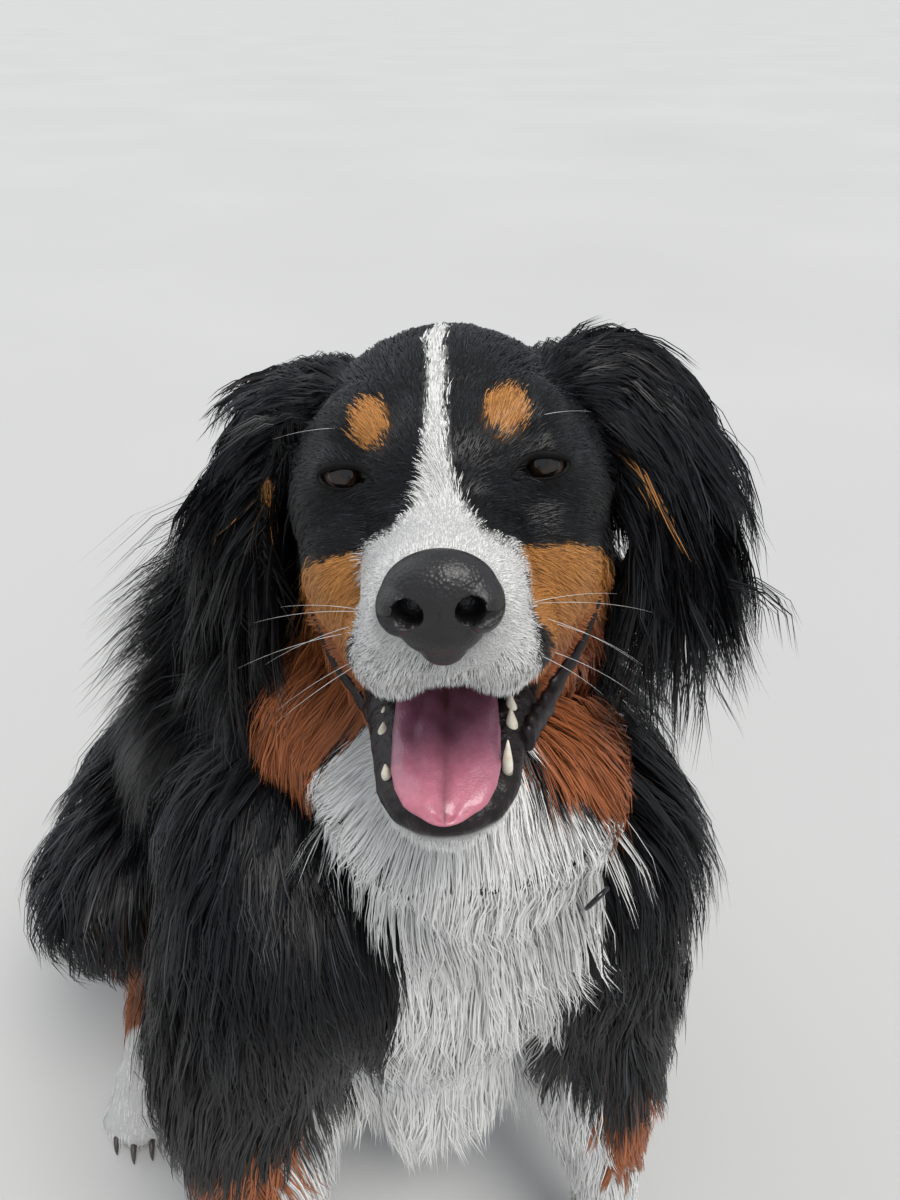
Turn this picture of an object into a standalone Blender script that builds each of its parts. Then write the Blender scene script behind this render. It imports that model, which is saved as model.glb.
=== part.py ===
"""A Bernese mountain dog, sitting and looking up, at life size.

The dog faces -Y, its left is +X and +Z is up. All lengths are in metres. Its flesh is
built from rounded forms on a few named joints, blended into one skin and parted into
nodes by thin cuts. The long coat is made of flat tapered locks that follow its lie.
"""

from math import cos, pi, radians, sin

import bmesh
import bpy
import numpy as np
from mathutils import Euler, Matrix, Vector
from mathutils.bvhtree import BVHTree

# Sizes that drive the rest
GAP = 0.0003
CLEARANCE = 0.0007
CORE_SHARE = 0.5
SEED = 11
BODY_VOXEL = 0.011
HEAD_VOXEL = 0.0036
BODY_TRIANGLES = 1250
HEAD_TRIANGLES = 1550
FAR = 2.0
SIDES = {"right": -1, "left": 1}

# Pose of the head: the tip of the nose, and the turn from a head that looks along -Y
NOSE = Vector((-0.035, -0.155, 0.770))
HEAD_YAW = radians(-22)
HEAD_PITCH = radians(-17)
HEAD_ROLL = radians(-4)

# Joints of the sitting body
WITHERS = Vector((-0.015, 0.090, 0.515))
SHOULDER = {"right": Vector((-0.102, 0.010, 0.465)), "left": Vector((0.100, -0.010, 0.470))}
NECK_TOP = Vector((0.045, 0.040, 0.690))
NECK_BASE = Vector((0.005, 0.030, 0.560))
THROAT = Vector((0.018, -0.062, 0.545))
PROSTERNUM = Vector((0.000, -0.050, 0.425))
RIBS = Vector((-0.025, 0.100, 0.400))
LOIN = Vector((-0.080, 0.250, 0.320))
RUMP = Vector((-0.092, 0.365, 0.172))
TAIL = [
    Vector((-0.100, 0.475, 0.085)),
    Vector((-0.092, 0.560, 0.052)),
    Vector((-0.060, 0.645, 0.044)),
    Vector((0.000, 0.710, 0.040)),
    Vector((0.078, 0.735, 0.036)),
]
TAIL_RADII = [0.030, 0.026, 0.021, 0.016, 0.008]
TAIL_COAT = 0.028
ARM = {
    "right": [
        Vector((-0.095, -0.045, 0.455)),
        Vector((-0.150, -0.045, 0.330)),
        Vector((-0.156, -0.088, 0.215)),
        Vector((-0.160, -0.112, 0.120)),
        Vector((-0.162, -0.125, 0.050)),
    ],
    "left": [
        Vector((0.092, -0.060, 0.455)),
        Vector((0.122, -0.068, 0.330)),
        Vector((0.118, -0.118, 0.215)),
        Vector((0.114, -0.146, 0.120)),
        Vector((0.113, -0.160, 0.050)),
    ],
}
ARM_RADII = [0.062, 0.052, 0.034, 0.027, 0.026]
ARM_COAT = [0.044, 0.044, 0.026, 0.010, 0.006]
LEG = {
    "right": [
        Vector((-0.165, 0.335, 0.210)),
        Vector((-0.240, 0.195, 0.255)),
        Vector((-0.238, 0.275, 0.105)),
        Vector((-0.238, 0.305, 0.028)),
        Vector((-0.262, 0.150, 0.026)),
    ],
    "left": [
        Vector((-0.018, 0.335, 0.210)),
        Vector((0.078, 0.195, 0.255)),
        Vector((0.084, 0.275, 0.105)),
        Vector((0.088, 0.305, 0.028)),
        Vector((0.118, 0.150, 0.026)),
    ],
}
LEG_RADII = [0.105, 0.062, 0.036, 0.028, 0.025]
LEG_COAT = [0.035, 0.024, 0.018, 0.010, 0.006]

# The torso and neck as ellipsoids: centre, half sizes of the flesh, depth of the coat
MANE = Vector((-0.050, 0.130, 0.552))
TORSO = [
    (PROSTERNUM, (0.092, 0.068, 0.140), 0.042),
    (WITHERS, (0.095, 0.095, 0.070), 0.036),
    (RIBS, (0.130, 0.140, 0.150), 0.036),
    (LOIN, (0.120, 0.125, 0.135), 0.038),
    (RUMP, (0.135, 0.130, 0.160), 0.036),
    (THROAT, (0.080, 0.056, 0.070), 0.042),
    (NECK_BASE, (0.090, 0.085, 0.090), 0.046),
    ((NECK_BASE + NECK_TOP) / 2, (0.076, 0.072, 0.090), 0.050),
    (NECK_TOP, (0.068, 0.070, 0.066), 0.036),
    (MANE, (0.045, 0.050, 0.044), 0.040),
]
BACK_RADII = [0.125, 0.118, 0.125]
BACK_COAT = 0.035
SHOULDER_SIZE = (0.056, 0.070, 0.080)
SHOULDER_COAT = 0.036

PAWS = {
    "fore": {"joints": ARM, "reach": 0.018, "palm": (0.036, 0.046, 0.030), "toe": 0.0185},
    "hind": {"joints": LEG, "reach": 0.022, "palm": (0.033, 0.046, 0.027), "toe": 0.0175},
}

CLAW_PATH = [(0.0, 0.0), (0.010, 0.0025), (0.0165, 0.0095)]
CLAW_SIZES = [(0.0032, 0.0036), (0.0026, 0.0030), (0.0007, 0.0009)]

# The head, in its own frame: x to the dog's left, y back from the nose, z up
EYE = Vector((0.0475, 0.104, 0.033))
EYE_RADIUS = 0.0112
EYE_TURN = radians(16)
EAR_BASE = 0.080
CHEEK_COAT = 0.020
CHEEK_LOCKS = 5
CHEEK_TOP = -0.012
CHEEK_FRONT = 0.140
CHEEK_STEP = 0.034
CHEEK_LIE = (0, 0.45, -1)
CHEEK_LIFT = 0.020
CHEEK_SINK = 0.004
CHEEK_LOCK_LENGTH = (0.050, 0.064)
CHEEK_LOCK_SIZE = (0.030, 0.007)
JAW_SHIFT = -0.005
MUZZLE = [
    (0.016, -0.012, 0.0290, 0.0240),
    (0.030, -0.014, 0.0355, 0.0320),
    (0.060, -0.014, 0.0390, 0.0350),
    (0.090, -0.007, 0.0420, 0.0370),
    (0.130, -0.002, 0.0500, 0.0420),
]
JAW = [
    (0.160, -0.062, 0.052, 0.022),
    (0.120, -0.083, 0.048, 0.019),
    (0.080, -0.102, 0.042, 0.016),
    (0.052, -0.114, 0.036, 0.0135),
    (0.036, -0.120, 0.026, 0.0110),
]
TONGUE = [
    (0.130, -0.066, 0.023, 0.0075),
    (0.100, -0.078, 0.0255, 0.0080),
    (0.072, -0.090, 0.0265, 0.0078),
    (0.050, -0.099, 0.0260, 0.0065),
    (0.035, -0.106, 0.0225, 0.0052),
    (0.026, -0.111, 0.0130, 0.0034),
]
# Rounded forms of the head: those in the middle, then those on each side
SKULL = [
    ((0, 0.176, 0.034), (0.076, 0.080, 0.067)),
    ((0, 0.235, 0.000), (0.078, 0.060, 0.078)),
    ((0, 0.122, 0.024), (0.052, 0.048, 0.046)),
    ((0, 0.190, -0.060), (0.070, 0.060, 0.056)),
]
CHIN = ((JAW_SHIFT, 0.040, -0.119), (0.022, 0.015, 0.012))
BROW_AND_LIPS = [
    ((0.034, 0.138, 0.050), (0.033, 0.044, 0.028)),
    ((0.048, 0.156, 0.012), (0.040, 0.064, 0.056)),
    ((0.044, 0.128, -0.014), (0.036, 0.048, 0.046)),
    ((0.022, 0.044, -0.035), (0.020, 0.027, 0.019)),
    ((0.034, 0.076, -0.040), (0.018, 0.038, 0.019)),
    ((0.046, 0.116, -0.044), (0.019, 0.032, 0.028)),
    ((0.066, 0.196, 0.062), (0.028, 0.030, 0.026)),
    ((EYE.x, EYE.y + 0.0005, EYE.z), (0.0160, 0.0140, 0.0135)),
]
CHEEKS = [
    ((0.046, 0.170, -0.030), (0.042, 0.046, 0.056)),
    ((0.042, 0.176, -0.078), (0.038, 0.040, 0.046)),
]
PALATE = [
    (0.034, -0.056, 0.016, 0.008),
    (0.050, -0.058, 0.024, 0.012),
    (0.090, -0.061, 0.031, 0.015),
    (0.130, -0.064, 0.034, 0.016),
]
UPPER_TEETH = [
    ((0.0200, 0.047, -0.048), (0.08, -0.10, -1), 0.0140, 0.0034),
    ((0.0070, 0.040, -0.048), (0, -0.1, -1), 0.0065, 0.0034),
    ((0.0270, 0.072, -0.050), (0, 0, -1), 0.0085, 0.0048),
]
LOWER_TEETH = [
    ((0.0300, 0.055, -0.100), (0.15, -0.22, 1), 0.0160, 0.0033),
    ((0.0335, 0.082, -0.090), (0, 0, 1), 0.0062, 0.0046),
]
NOSE_TRIANGLES = 220
JAW_THINNING = 0.55
EAR_CUT_LOW = 0.030
EAR_INSIDE = 0.094
TONGUE_SIDES = 16
NOSE_MIDDLE = [
    ((0, 0.014, -0.002), (0.0240, 0.0150, 0.0190)),
    ((0, 0.014, -0.021), (0.0105, 0.0125, 0.0120)),
]
NOSE_WING = ((0.0155, 0.013, -0.005), (0.0105, 0.0150, 0.0125))
NOSTRIL_PATH = [
    (0.0085, 0.010, -0.004),
    (0.0135, -0.002, -0.003),
    (0.0200, 0.000, -0.008),
    (0.0270, 0.010, -0.013),
]
NOSTRIL_SIZES = [(0.0030, 0.0030), (0.0046, 0.0046), (0.0030, 0.0036), (0.0014, 0.0016)]
NOSE_BACK = 0.0180
LID_SIZE = (0.0118, 0.0120, 0.0048)
EYE_SIDES = (14, 8)
LID_SIDES = (12, 6)
LID_OUT = 0.0035
LID_AHEAD = 0.0125
NOSE_VOXEL = 0.0020
GROOVE_PATH = [(0, -0.002, -0.006), (0, -0.004, -0.034)]
GROOVE_SIZE = (0.0011, 0.004)
EAR_PATH = {
    "right": [(0.064, 0.188, 0.072), (0.094, 0.190, 0.062), (0.112, 0.188, 0.020),
              (0.118, 0.186, -0.030), (0.115, 0.182, -0.072)],
    "left": [(0.064, 0.188, 0.074), (0.096, 0.192, 0.064), (0.118, 0.192, 0.026),
             (0.127, 0.188, -0.020), (0.126, 0.184, -0.060)],
}
EAR_FACING = {"right": Vector((-0.85, -0.40, 0.30)), "left": Vector((0.50, -0.80, 0.30))}
EAR_LOCKS = 7
EAR_LOCK_LENGTH = (0.055, 0.080)
EAR_LOCK_SIZE = (0.026, 0.006)
EAR_THICK = 0.010
EAR_CUP = 0.28
EAR_WIDTHS = [0.020, 0.034, 0.042, 0.036, 0.014]

# Where the parts meet: planes, each a point and a normal out of its part
HEAD_BACK = (Vector((0, 0.238, -0.01)), Vector((0, 1, -0.18)))
JAW_TOP = (Vector((0, 0.100, -0.062)), Vector((0, 0.03, 1)))
JAW_BACK = (Vector((0, 0.148, -0.066)), Vector((0, 1, 0.2)))
FLOOR = (Vector((0, 0, 0)), Vector((0, 0, -1)))
HEAD_UNDER = (Vector((0, 0, 0.598)), Vector((0, -0.20, -1)))

NECK_PLANES = [((0, -0.160, 0.500), (0, 0.30, -1)), ((0, 0.05, 0.545), (0, 0.5, -1))]
ARM_INSIDE = {"right": 0.098, "left": 0.080}
ARM_BACK = 0.048
ARM_TOP = 0.43
WRIST = 0.078
ELBOW = 0.275
THIGH_HALF = 0.068
LEG_BACK = 0.46
LEG_FRONT = 0.055
HOCK = 0.070
KNEE = ((0, 0.20, 0.135), (0, -0.5, 1))
HIP = ((0, 0.20, 0.385), (0, 0.4, 1))
TAIL_FRONT = (TAIL[0] + Vector((0, 0.012, 0)), (0, -1, 0.1))
TAIL_TOP = (TAIL[0] + Vector((0, 0, 0.065)), (0, 0.4, 1))
RUMP_FRONT = ((-0.05, 0.28, 0.29), (0.1, -1, 0.55))
LOIN_FRONT = ((0, 0.105, 0.40), (0.1, -1, 0.25))

# Collar and its ring
UNDER_COLLAR = ("neck", "chest", "loin")
COLLAR_MIDDLE = Vector((0.012, -0.005, 0.583))
COLLAR_TILT = Vector((0.10, -0.35, 1.0))
COLLAR_HALF = 0.0125
COLLAR_THICK = 0.0035
COLLAR_STEPS = 32
RING_ANGLE = radians(-62)
RING_RADIUS = 0.0085
RING_WIRE = 0.0014
RING_CLEAR = 0.0035

# Coat: how many locks a node carries, their length, width and how far they stand out
COAT = {
    "neck": (17, 0.110, 0.056, 0.044),
    "chest": (19, 0.120, 0.060, 0.034),
    "loin": (14, 0.130, 0.064, 0.036),
    "rump": (12, 0.130, 0.064, 0.036),
    "thigh_right": (10, 0.115, 0.058, 0.026),
    "thigh_left": (10, 0.115, 0.058, 0.034),
    "upper_arm_right": (8, 0.095, 0.054, 0.034),
    "upper_arm_left": (8, 0.095, 0.054, 0.034),
    "forearm_right": (5, 0.070, 0.032, 0.018),
    "forearm_left": (5, 0.070, 0.032, 0.018),
    "lower_leg_right": (5, 0.080, 0.042, 0.022),
    "lower_leg_left": (5, 0.080, 0.042, 0.022),
    "tail": (9, 0.130, 0.052, 0.036),
}
BIB_LINE = [(0.018, -0.122, 0.605), (0.000, -0.130, 0.425), (0.000, -0.100, 0.285)]
SINK = 0.007
LOCK_STEPS = 4
LOCK_SHARES = (0, 0.34, 0.68, 1)
LOCK_DEPTH = 0.26
LIFT_BEND = 0.56
FLOOR_CLEAR = 0.012
DROOP = 0.16
MANE_LOCKS = 9
MANE_LENGTH = (0.105, 0.140)
MANE_DROOP = (0.0, 0.002, 0.012, 0.034)
MANE_WIDTH = 0.066
MANE_FACING = Vector((0.0, -0.8, 0.5))
BRANCHES = (1.0, 0.75, 0.55)
WIND = Vector((-0.55, 0.25, 0.05))

COLOURS = {
    "black": (0.012, 0.012, 0.014),
    "white": (0.82, 0.80, 0.76),
    "rust": (0.42, 0.15, 0.045),
    "nose": (0.018, 0.017, 0.019),
    "tongue": (0.62, 0.20, 0.24),
    "iris": (0.09, 0.04, 0.018),
    "collar": (0.02, 0.02, 0.022),
}
ROUGHNESS = {"nose": 0.35, "tongue": 0.30, "iris": 0.05, "collar": 0.45}


def clear_scene():
    for item in list(bpy.data.objects):
        bpy.data.objects.remove(item, do_unlink=True)


def head_turn():
    """The turn of the head, yaw after pitch after roll."""
    yaw = Matrix.Rotation(HEAD_YAW, 4, "Z")
    pitch = Matrix.Rotation(HEAD_PITCH, 4, "X")
    roll = Matrix.Rotation(HEAD_ROLL, 4, "Y")
    return yaw @ pitch @ roll


def head_frame():
    """Carries head coordinates, with y back from the nose and z up, to the dog's."""
    return Matrix.Translation(NOSE) @ head_turn()


# Plain shapes


def mesh_object(name, bm):
    """A new object from a bmesh, which is used up."""
    mesh = bpy.data.meshes.new(name)
    bmesh.ops.recalc_face_normals(bm, faces=bm.faces)
    bm.to_mesh(mesh)
    bm.free()
    item = bpy.data.objects.new(name, mesh)
    bpy.context.scene.collection.objects.link(item)
    return item


def ellipsoid(centre, radii, turn=None, segments=28, rings=18):
    """A closed ellipsoid; turn is an Euler in radians."""
    bm = bmesh.new()
    bmesh.ops.create_uvsphere(bm, u_segments=segments, v_segments=rings, radius=1.0)
    spin = Euler(turn).to_matrix().to_4x4() if turn else Matrix.Identity(4)
    place = Matrix.Translation(centre) @ spin @ Matrix.Diagonal((*radii, 1.0))
    bmesh.ops.transform(bm, matrix=place, verts=bm.verts)
    return mesh_object("form", bm)


def across(direction, up=Vector((0, 0, 1))):
    """Two unit vectors square to a direction: to the side, and up from it."""
    side = direction.cross(up)
    if side.length < 1e-4:
        side = direction.cross(Vector((0, 1, 0)))
    side.normalize()
    return side, side.cross(direction).normalized()


def tube(points, sizes, sides=14, up=Vector((0, 0, 1))):
    """A closed tube along points, each with a half width and a half height."""
    bm = bmesh.new()
    loops = []
    for i, point in enumerate(points):
        ahead = points[min(i + 1, len(points) - 1)] - points[max(i - 1, 0)]
        side, rise = across(ahead.normalized(), up)
        wide, high = sizes[i]
        ring = []
        for k in range(sides):
            angle = 2 * pi * k / sides
            spot = point + side * (wide * cos(angle)) + rise * (high * sin(angle))
            ring.append(bm.verts.new(spot))
        loops.append(ring)
    for a, b in zip(loops, loops[1:]):
        for k in range(sides):
            n = (k + 1) % sides
            bm.faces.new((a[k], a[n], b[n], b[k]))
    bm.faces.new(loops[0][::-1])
    bm.faces.new(loops[-1])
    bmesh.ops.triangulate(bm, faces=bm.faces)
    return mesh_object("form", bm)


def limb(points, radii):
    """Balls at the joints and a tapered tube between each two."""
    forms = [ellipsoid(p, (r, r, r), segments=20, rings=12) for p, r in zip(points, radii)]
    for i in range(len(points) - 1):
        ends = [(radii[i], radii[i]), (radii[i + 1], radii[i + 1])]
        forms.append(tube([points[i], points[i + 1]], ends))
    return forms


def applied(item):
    """Replaces an object's mesh by what its modifiers make of it."""
    graph = bpy.context.evaluated_depsgraph_get()
    mesh = bpy.data.meshes.new_from_object(item.evaluated_get(graph))
    item.modifiers.clear()
    old = item.data
    item.data = mesh
    bpy.data.meshes.remove(old)
    return item


def thinned(item, ratio):
    """Fewer triangles on the same shape."""
    step = item.modifiers.new("Decimate", "DECIMATE")
    step.ratio = ratio
    step.use_collapse_triangulate = True
    return applied(item)


def joined(forms):
    """One object that holds all forms, overlapping as they are."""
    bm = bmesh.new()
    for form in forms:
        bm.from_mesh(form.data)
        bpy.data.objects.remove(form, do_unlink=True)
    return mesh_object("joined", bm)


def blended(forms, voxel, smoothing, triangles):
    """Forms melted into one closed skin with a given number of triangles."""
    item = joined(forms)
    remesh = item.modifiers.new("Remesh", "REMESH")
    remesh.mode = "VOXEL"
    remesh.voxel_size = voxel
    smooth = item.modifiers.new("Smooth", "SMOOTH")
    smooth.iterations = smoothing
    smooth.factor = 0.5
    applied(item)
    return thinned(item, min(1.0, triangles / (2 * len(item.data.polygons))))


# Cutting


def cell(planes, grow=0.0):
    """The closed block inside all planes, each a point and a normal that points out of it."""
    bm = bmesh.new()
    bmesh.ops.create_cube(bm, size=2 * FAR)
    for point, normal in planes:
        way = Vector(normal).normalized()
        geometry = bm.verts[:] + bm.edges[:] + bm.faces[:]
        spot = Vector(point) + way * grow
        cut = bmesh.ops.bisect_plane(
            bm, geom=geometry, plane_co=spot, plane_no=way, clear_outer=True
        )
        edges = [e for e in cut["geom_cut"] if isinstance(e, bmesh.types.BMEdge)]
        bmesh.ops.holes_fill(bm, edges=edges, sides=0)
    bmesh.ops.triangulate(bm, faces=bm.faces)
    return mesh_object("cell", bm)


def largest_surface(item):
    """Keeps only the biggest closed surface of a mesh."""
    bm = bmesh.new()
    bm.from_mesh(item.data)
    left = set(bm.verts)
    groups = []
    while left:
        stack = [left.pop()]
        group = []
        while stack:
            vert = stack.pop()
            group.append(vert)
            for edge in vert.link_edges:
                other = edge.other_vert(vert)
                if other in left:
                    left.discard(other)
                    stack.append(other)
        groups.append(group)
    groups.sort(key=len)
    for group in groups[:-1]:
        bmesh.ops.delete(bm, geom=group, context="VERTS")
    bmesh.ops.dissolve_degenerate(bm, dist=2e-6, edges=bm.edges)
    bmesh.ops.triangulate(bm, faces=bm.faces)
    bm.to_mesh(item.data)
    bm.free()
    return item


def boolean(item, tool, operation, solver="EXACT"):
    """Cuts or joins an object with one other object, which is then removed."""
    step = item.modifiers.new("Boolean", "BOOLEAN")
    step.object = tool
    step.operation = operation
    step.solver = solver
    applied(item)
    bpy.data.objects.remove(tool, do_unlink=True)
    return item


def copy_of(item):
    twin = bpy.data.objects.new("copy", item.data.copy())
    bpy.context.scene.collection.objects.link(twin)
    return twin


def cleared(item, others):
    """Cuts an object clear of others; where they cut it in two, the bigger piece stays."""
    for other in others:
        tool = copy_of(other)
        swell = tool.modifiers.new("Displace", "DISPLACE")
        swell.strength = CLEARANCE
        swell.mid_level = 0.0
        applied(tool)
        boolean(item, tool, "DIFFERENCE")
        largest_surface(item)
    return item


# Body


def body_forms(share):
    """The torso, neck, tail and limbs as rounded forms; share is how much of the coat they hold."""

    def form(centre, radii, coat):
        return ellipsoid(centre, [r + share * coat for r in radii])

    forms = [form(*row) for row in TORSO]
    back = [(r + share * BACK_COAT,) * 2 for r in BACK_RADII]
    forms.append(tube([RIBS, LOIN, RUMP], back))
    for side in SIDES:
        forms.append(form(SHOULDER[side], SHOULDER_SIZE, SHOULDER_COAT))
        arm = [r + share * c for r, c in zip(ARM_RADII, ARM_COAT)]
        forms += limb(ARM[side], arm)
        forms.append(paw("fore", side))
        leg = [r + share * c for r, c in zip(LEG_RADII, LEG_COAT)]
        forms += limb(LEG[side], leg)
        forms.append(paw("hind", side))
    forms += limb(TAIL, [r + share * TAIL_COAT for r in TAIL_RADII])
    return forms


def heading(way):
    """The angle about Z that turns +Y to a level direction."""
    return -np.arctan2(way.x, way.y)


def paw_ahead(kind, side):
    """The level direction in which a paw points."""
    joints = PAWS[kind]["joints"][side]
    way = joints[-1] - joints[-2]
    way.z = 0
    if kind == "fore":
        way = Vector((way.x, -1.0, 0))
    return way.normalized()


def toe_spots(kind, side):
    """The centres of four toes side by side, the middle two ahead."""
    sizes = PAWS[kind]
    ahead = paw_ahead(kind, side)
    across_paw = ahead.cross(Vector((0, 0, 1)))
    end = sizes["joints"][side][-1]
    middle = Vector((end.x, end.y, 0.0165)) + ahead * (sizes["reach"] + 0.027)
    spots = []
    for k in range(4):
        off = k - 1.5
        lead = 0.012 if abs(off) < 1 else 0.0
        spots.append(middle + across_paw * (off * sizes["toe"]) + ahead * lead)
    return spots


def paw(kind, side):
    sizes = PAWS[kind]
    ahead = paw_ahead(kind, side)
    turn = (0, 0, heading(ahead))
    end = sizes["joints"][side][-1]
    toe = sizes["toe"]
    palm_spot = Vector((end.x, end.y, 0.023)) + ahead * sizes["reach"]
    forms = [ellipsoid(palm_spot, sizes["palm"], turn)]
    for spot in toe_spots(kind, side):
        forms.append(ellipsoid(spot, (toe, toe * 1.35, toe), turn, 16, 12))
    return joined(forms)


def claws(kind, side):
    """Four short curved claws, one at the front of each toe."""
    ahead = paw_ahead(kind, side)
    toe = PAWS[kind]["toe"]
    forms = []
    for spot in toe_spots(kind, side):
        root = spot + ahead * (toe * 0.95) + Vector((0, 0, 0.001))
        points = [root + ahead * out - Vector((0, 0, drop)) for out, drop in CLAW_PATH]
        forms.append(tube(points, CLAW_SIZES, 6))
    return forms


# Head, in its own frame: x to the dog's left, y back from the nose, z up

def profile(rows, grow=0.0, sides=20, shift=0.0):
    """A tube through rows of y, z, half width and half height; shift moves it to one side."""
    points = [Vector((shift, y, z)) for y, z, _, _ in rows]
    sizes = [(w + grow, h + grow) for _, _, w, h in rows]
    return tube(points, sizes, sides)


def side_form(row, s, grow=0.0):
    """An ellipsoid of the head on one side; s is -1 for the dog's right and 1 for its left."""
    (x, y, z), radii = row
    return ellipsoid((s * x, y, z), [r + grow for r in radii])


def head_forms(share):
    """Skull, muzzle, cheeks, lids and lower jaw as rounded forms."""
    forms = [ellipsoid(*row) for row in SKULL + [CHIN]]
    forms += [profile(MUZZLE), profile(JAW, shift=JAW_SHIFT)]
    for s in SIDES.values():
        forms += [side_form(row, s) for row in BROW_AND_LIPS]
        forms += [side_form(row, s, CHEEK_COAT * share) for row in CHEEKS]
    return forms


def nose_forms():
    forms = [ellipsoid(*row) for row in NOSE_MIDDLE]
    return forms + [side_form(NOSE_WING, s) for s in SIDES.values()]


def nostril(s):
    """A comma that curls from the front of the nose round to its side."""
    points = [Vector((s * x, y, z)) for x, y, z in NOSTRIL_PATH]
    return tube(points, NOSTRIL_SIZES, 8)


def nose_pad():
    item = blended(nose_forms(), NOSE_VOXEL, 4, NOSE_TRIANGLES)
    for s in SIDES.values():
        boolean(item, nostril(s), "DIFFERENCE")
    groove = tube([Vector(p) for p in GROOVE_PATH], [GROOVE_SIZE] * 2, 8)
    boolean(item, groove, "DIFFERENCE")
    boolean(item, cell([((0, NOSE_BACK, 0), (0, 1, 0))]), "INTERSECT")
    return largest_surface(item)


def eye_ball(s, grow=0.0):
    return ellipsoid((s * EYE.x, EYE.y, EYE.z), [EYE_RADIUS + grow] * 3, None, *EYE_SIDES)


def lid_opening(s):
    """The almond between the lids, in front of one eye."""
    spot = (s * (EYE.x + LID_OUT), EYE.y - LID_AHEAD, EYE.z)
    return ellipsoid(spot, LID_SIZE, (0, 0, s * EYE_TURN), *LID_SIDES)


def head_skin(share):
    item = blended(head_forms(share), HEAD_VOXEL, 9, HEAD_TRIANGLES)
    for s in SIDES.values():
        boolean(item, lid_opening(s), "DIFFERENCE")
        boolean(item, eye_ball(s, GAP), "DIFFERENCE")
    boolean(item, cell([((0, NOSE_BACK + GAP, 0), (0, -1, 0))]), "INTERSECT")
    return largest_surface(item)


def flap(path, widths, thick, cup, outward):
    """An ear flap along a path: a thin cupped blade with its hollow to the head."""
    bm = bmesh.new()
    loops = []
    count = 4
    for i, point in enumerate(path):
        ahead = (path[min(i + 1, len(path) - 1)] - path[max(i - 1, 0)]).normalized()
        side, rise = across(ahead, outward)
        ring = []
        for layer, order in ((1, range(count + 1)), (-1, range(count, -1, -1))):
            for k in order:
                t = 2.0 * k / count - 1.0
                arch = cup * widths[i] * (1 - t * t)
                half = 0.5 * thick * (1 - 0.75 * t * t)
                spot = point + side * (t * widths[i]) + rise * (arch + layer * half)
                ring.append(bm.verts.new(spot))
        loops.append(ring)
    size = len(loops[0])
    for a, b in zip(loops, loops[1:]):
        for k in range(size):
            n = (k + 1) % size
            bm.faces.new((a[k], a[n], b[n], b[k]))
    bm.faces.new(loops[0][::-1])
    bm.faces.new(loops[-1])
    bmesh.ops.triangulate(bm, faces=bm.faces)
    return mesh_object("flap", bm)


def ear_fringe(path, s, out):
    """Locks that hang from both edges of an ear and from its tip."""
    draw = np.random.default_rng(SEED + s)
    forms = []
    for k in range(EAR_LOCKS):
        t = 1.0 + (len(path) - 2.2) * k / (EAR_LOCKS - 1)
        i = min(int(t), len(path) - 2)
        spot = path[i].lerp(path[i + 1], t - i)
        ahead = (path[i + 1] - path[i]).normalized()
        side = across(ahead, out)[0] * (1 if k % 2 else -1)
        width = EAR_WIDTHS[i] + (EAR_WIDTHS[i + 1] - EAR_WIDTHS[i]) * (t - i)
        way = ahead * 0.9 + side * draw.uniform(0.25, 0.55) - Vector((0, 0, 0.25))
        way = way.normalized() * draw.uniform(*EAR_LOCK_LENGTH)
        start = spot + side * (width * 0.60)
        points = [start + way * q + out * (0.010 * sin(q * pi)) for q in LOCK_SHARES]
        forms.append(lock(points, [out] * 4, *EAR_LOCK_SIZE))
    return forms


def beside_ear(s, up, reach):
    """The space outside a distance from the middle, above or below the ear's fold."""
    return [((s * reach, 0, 0), (-s, 0, 0)), ((0, 0, EAR_CUT_LOW), (0, 0, -up))]


def ear(side):
    s = SIDES[side]
    path = [Vector((s * x, y, z)) for x, y, z in EAR_PATH[side]]
    facing = EAR_FACING[side].normalized()
    item = flap(path, EAR_WIDTHS, EAR_THICK, EAR_CUP, facing)
    united(item, ear_fringe(path, s, facing))
    inner = cell([((s * (EAR_BASE + GAP), 0, 0), (s, 0, 0))])
    boolean(item, inner, "DIFFERENCE")
    below = [((s * (EAR_INSIDE + GAP), 0, 0), (s, 0, 0)), ((0, 0, EAR_CUT_LOW), (0, 0, 1))]
    boolean(item, cell(below), "DIFFERENCE")
    return largest_surface(item)


def tooth(root, way, length, radius):
    tip = Vector(root) + Vector(way).normalized() * length
    base = Vector(root) - Vector(way).normalized() * 0.006
    middle = base.lerp(tip, 0.6) + Vector((0, -0.0008, 0))
    sizes = [(radius, radius), (radius * 0.72, radius * 0.72), (radius * 0.18, radius * 0.18)]
    return tube([base, middle, tip], sizes, 6, Vector((0, 1, 0)))


def united(item, forms, solver="EXACT"):
    """Joins closed forms to an object with one union."""
    group = bpy.data.collections.new("pieces")
    bpy.context.scene.collection.children.link(group)
    for form in forms:
        for home in list(form.users_collection):
            home.objects.unlink(form)
        group.objects.link(form)
    step = item.modifiers.new("Union", "BOOLEAN")
    step.operand_type = "COLLECTION"
    step.collection = group
    step.operation = "UNION"
    step.solver = solver
    applied(item)
    for form in list(group.objects):
        bpy.data.objects.remove(form, do_unlink=True)
    bpy.data.collections.remove(group)
    return largest_surface(item)


def teeth(rows, shift=0.0):
    """Teeth on both sides from rows of root, direction, length and half width."""
    forms = []
    for s in SIDES.values():
        for (x, y, z), (a, b, c), length, radius in rows:
            forms.append(tooth((shift + s * x, y, z), (s * a, b, c), length, radius))
    return forms


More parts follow.
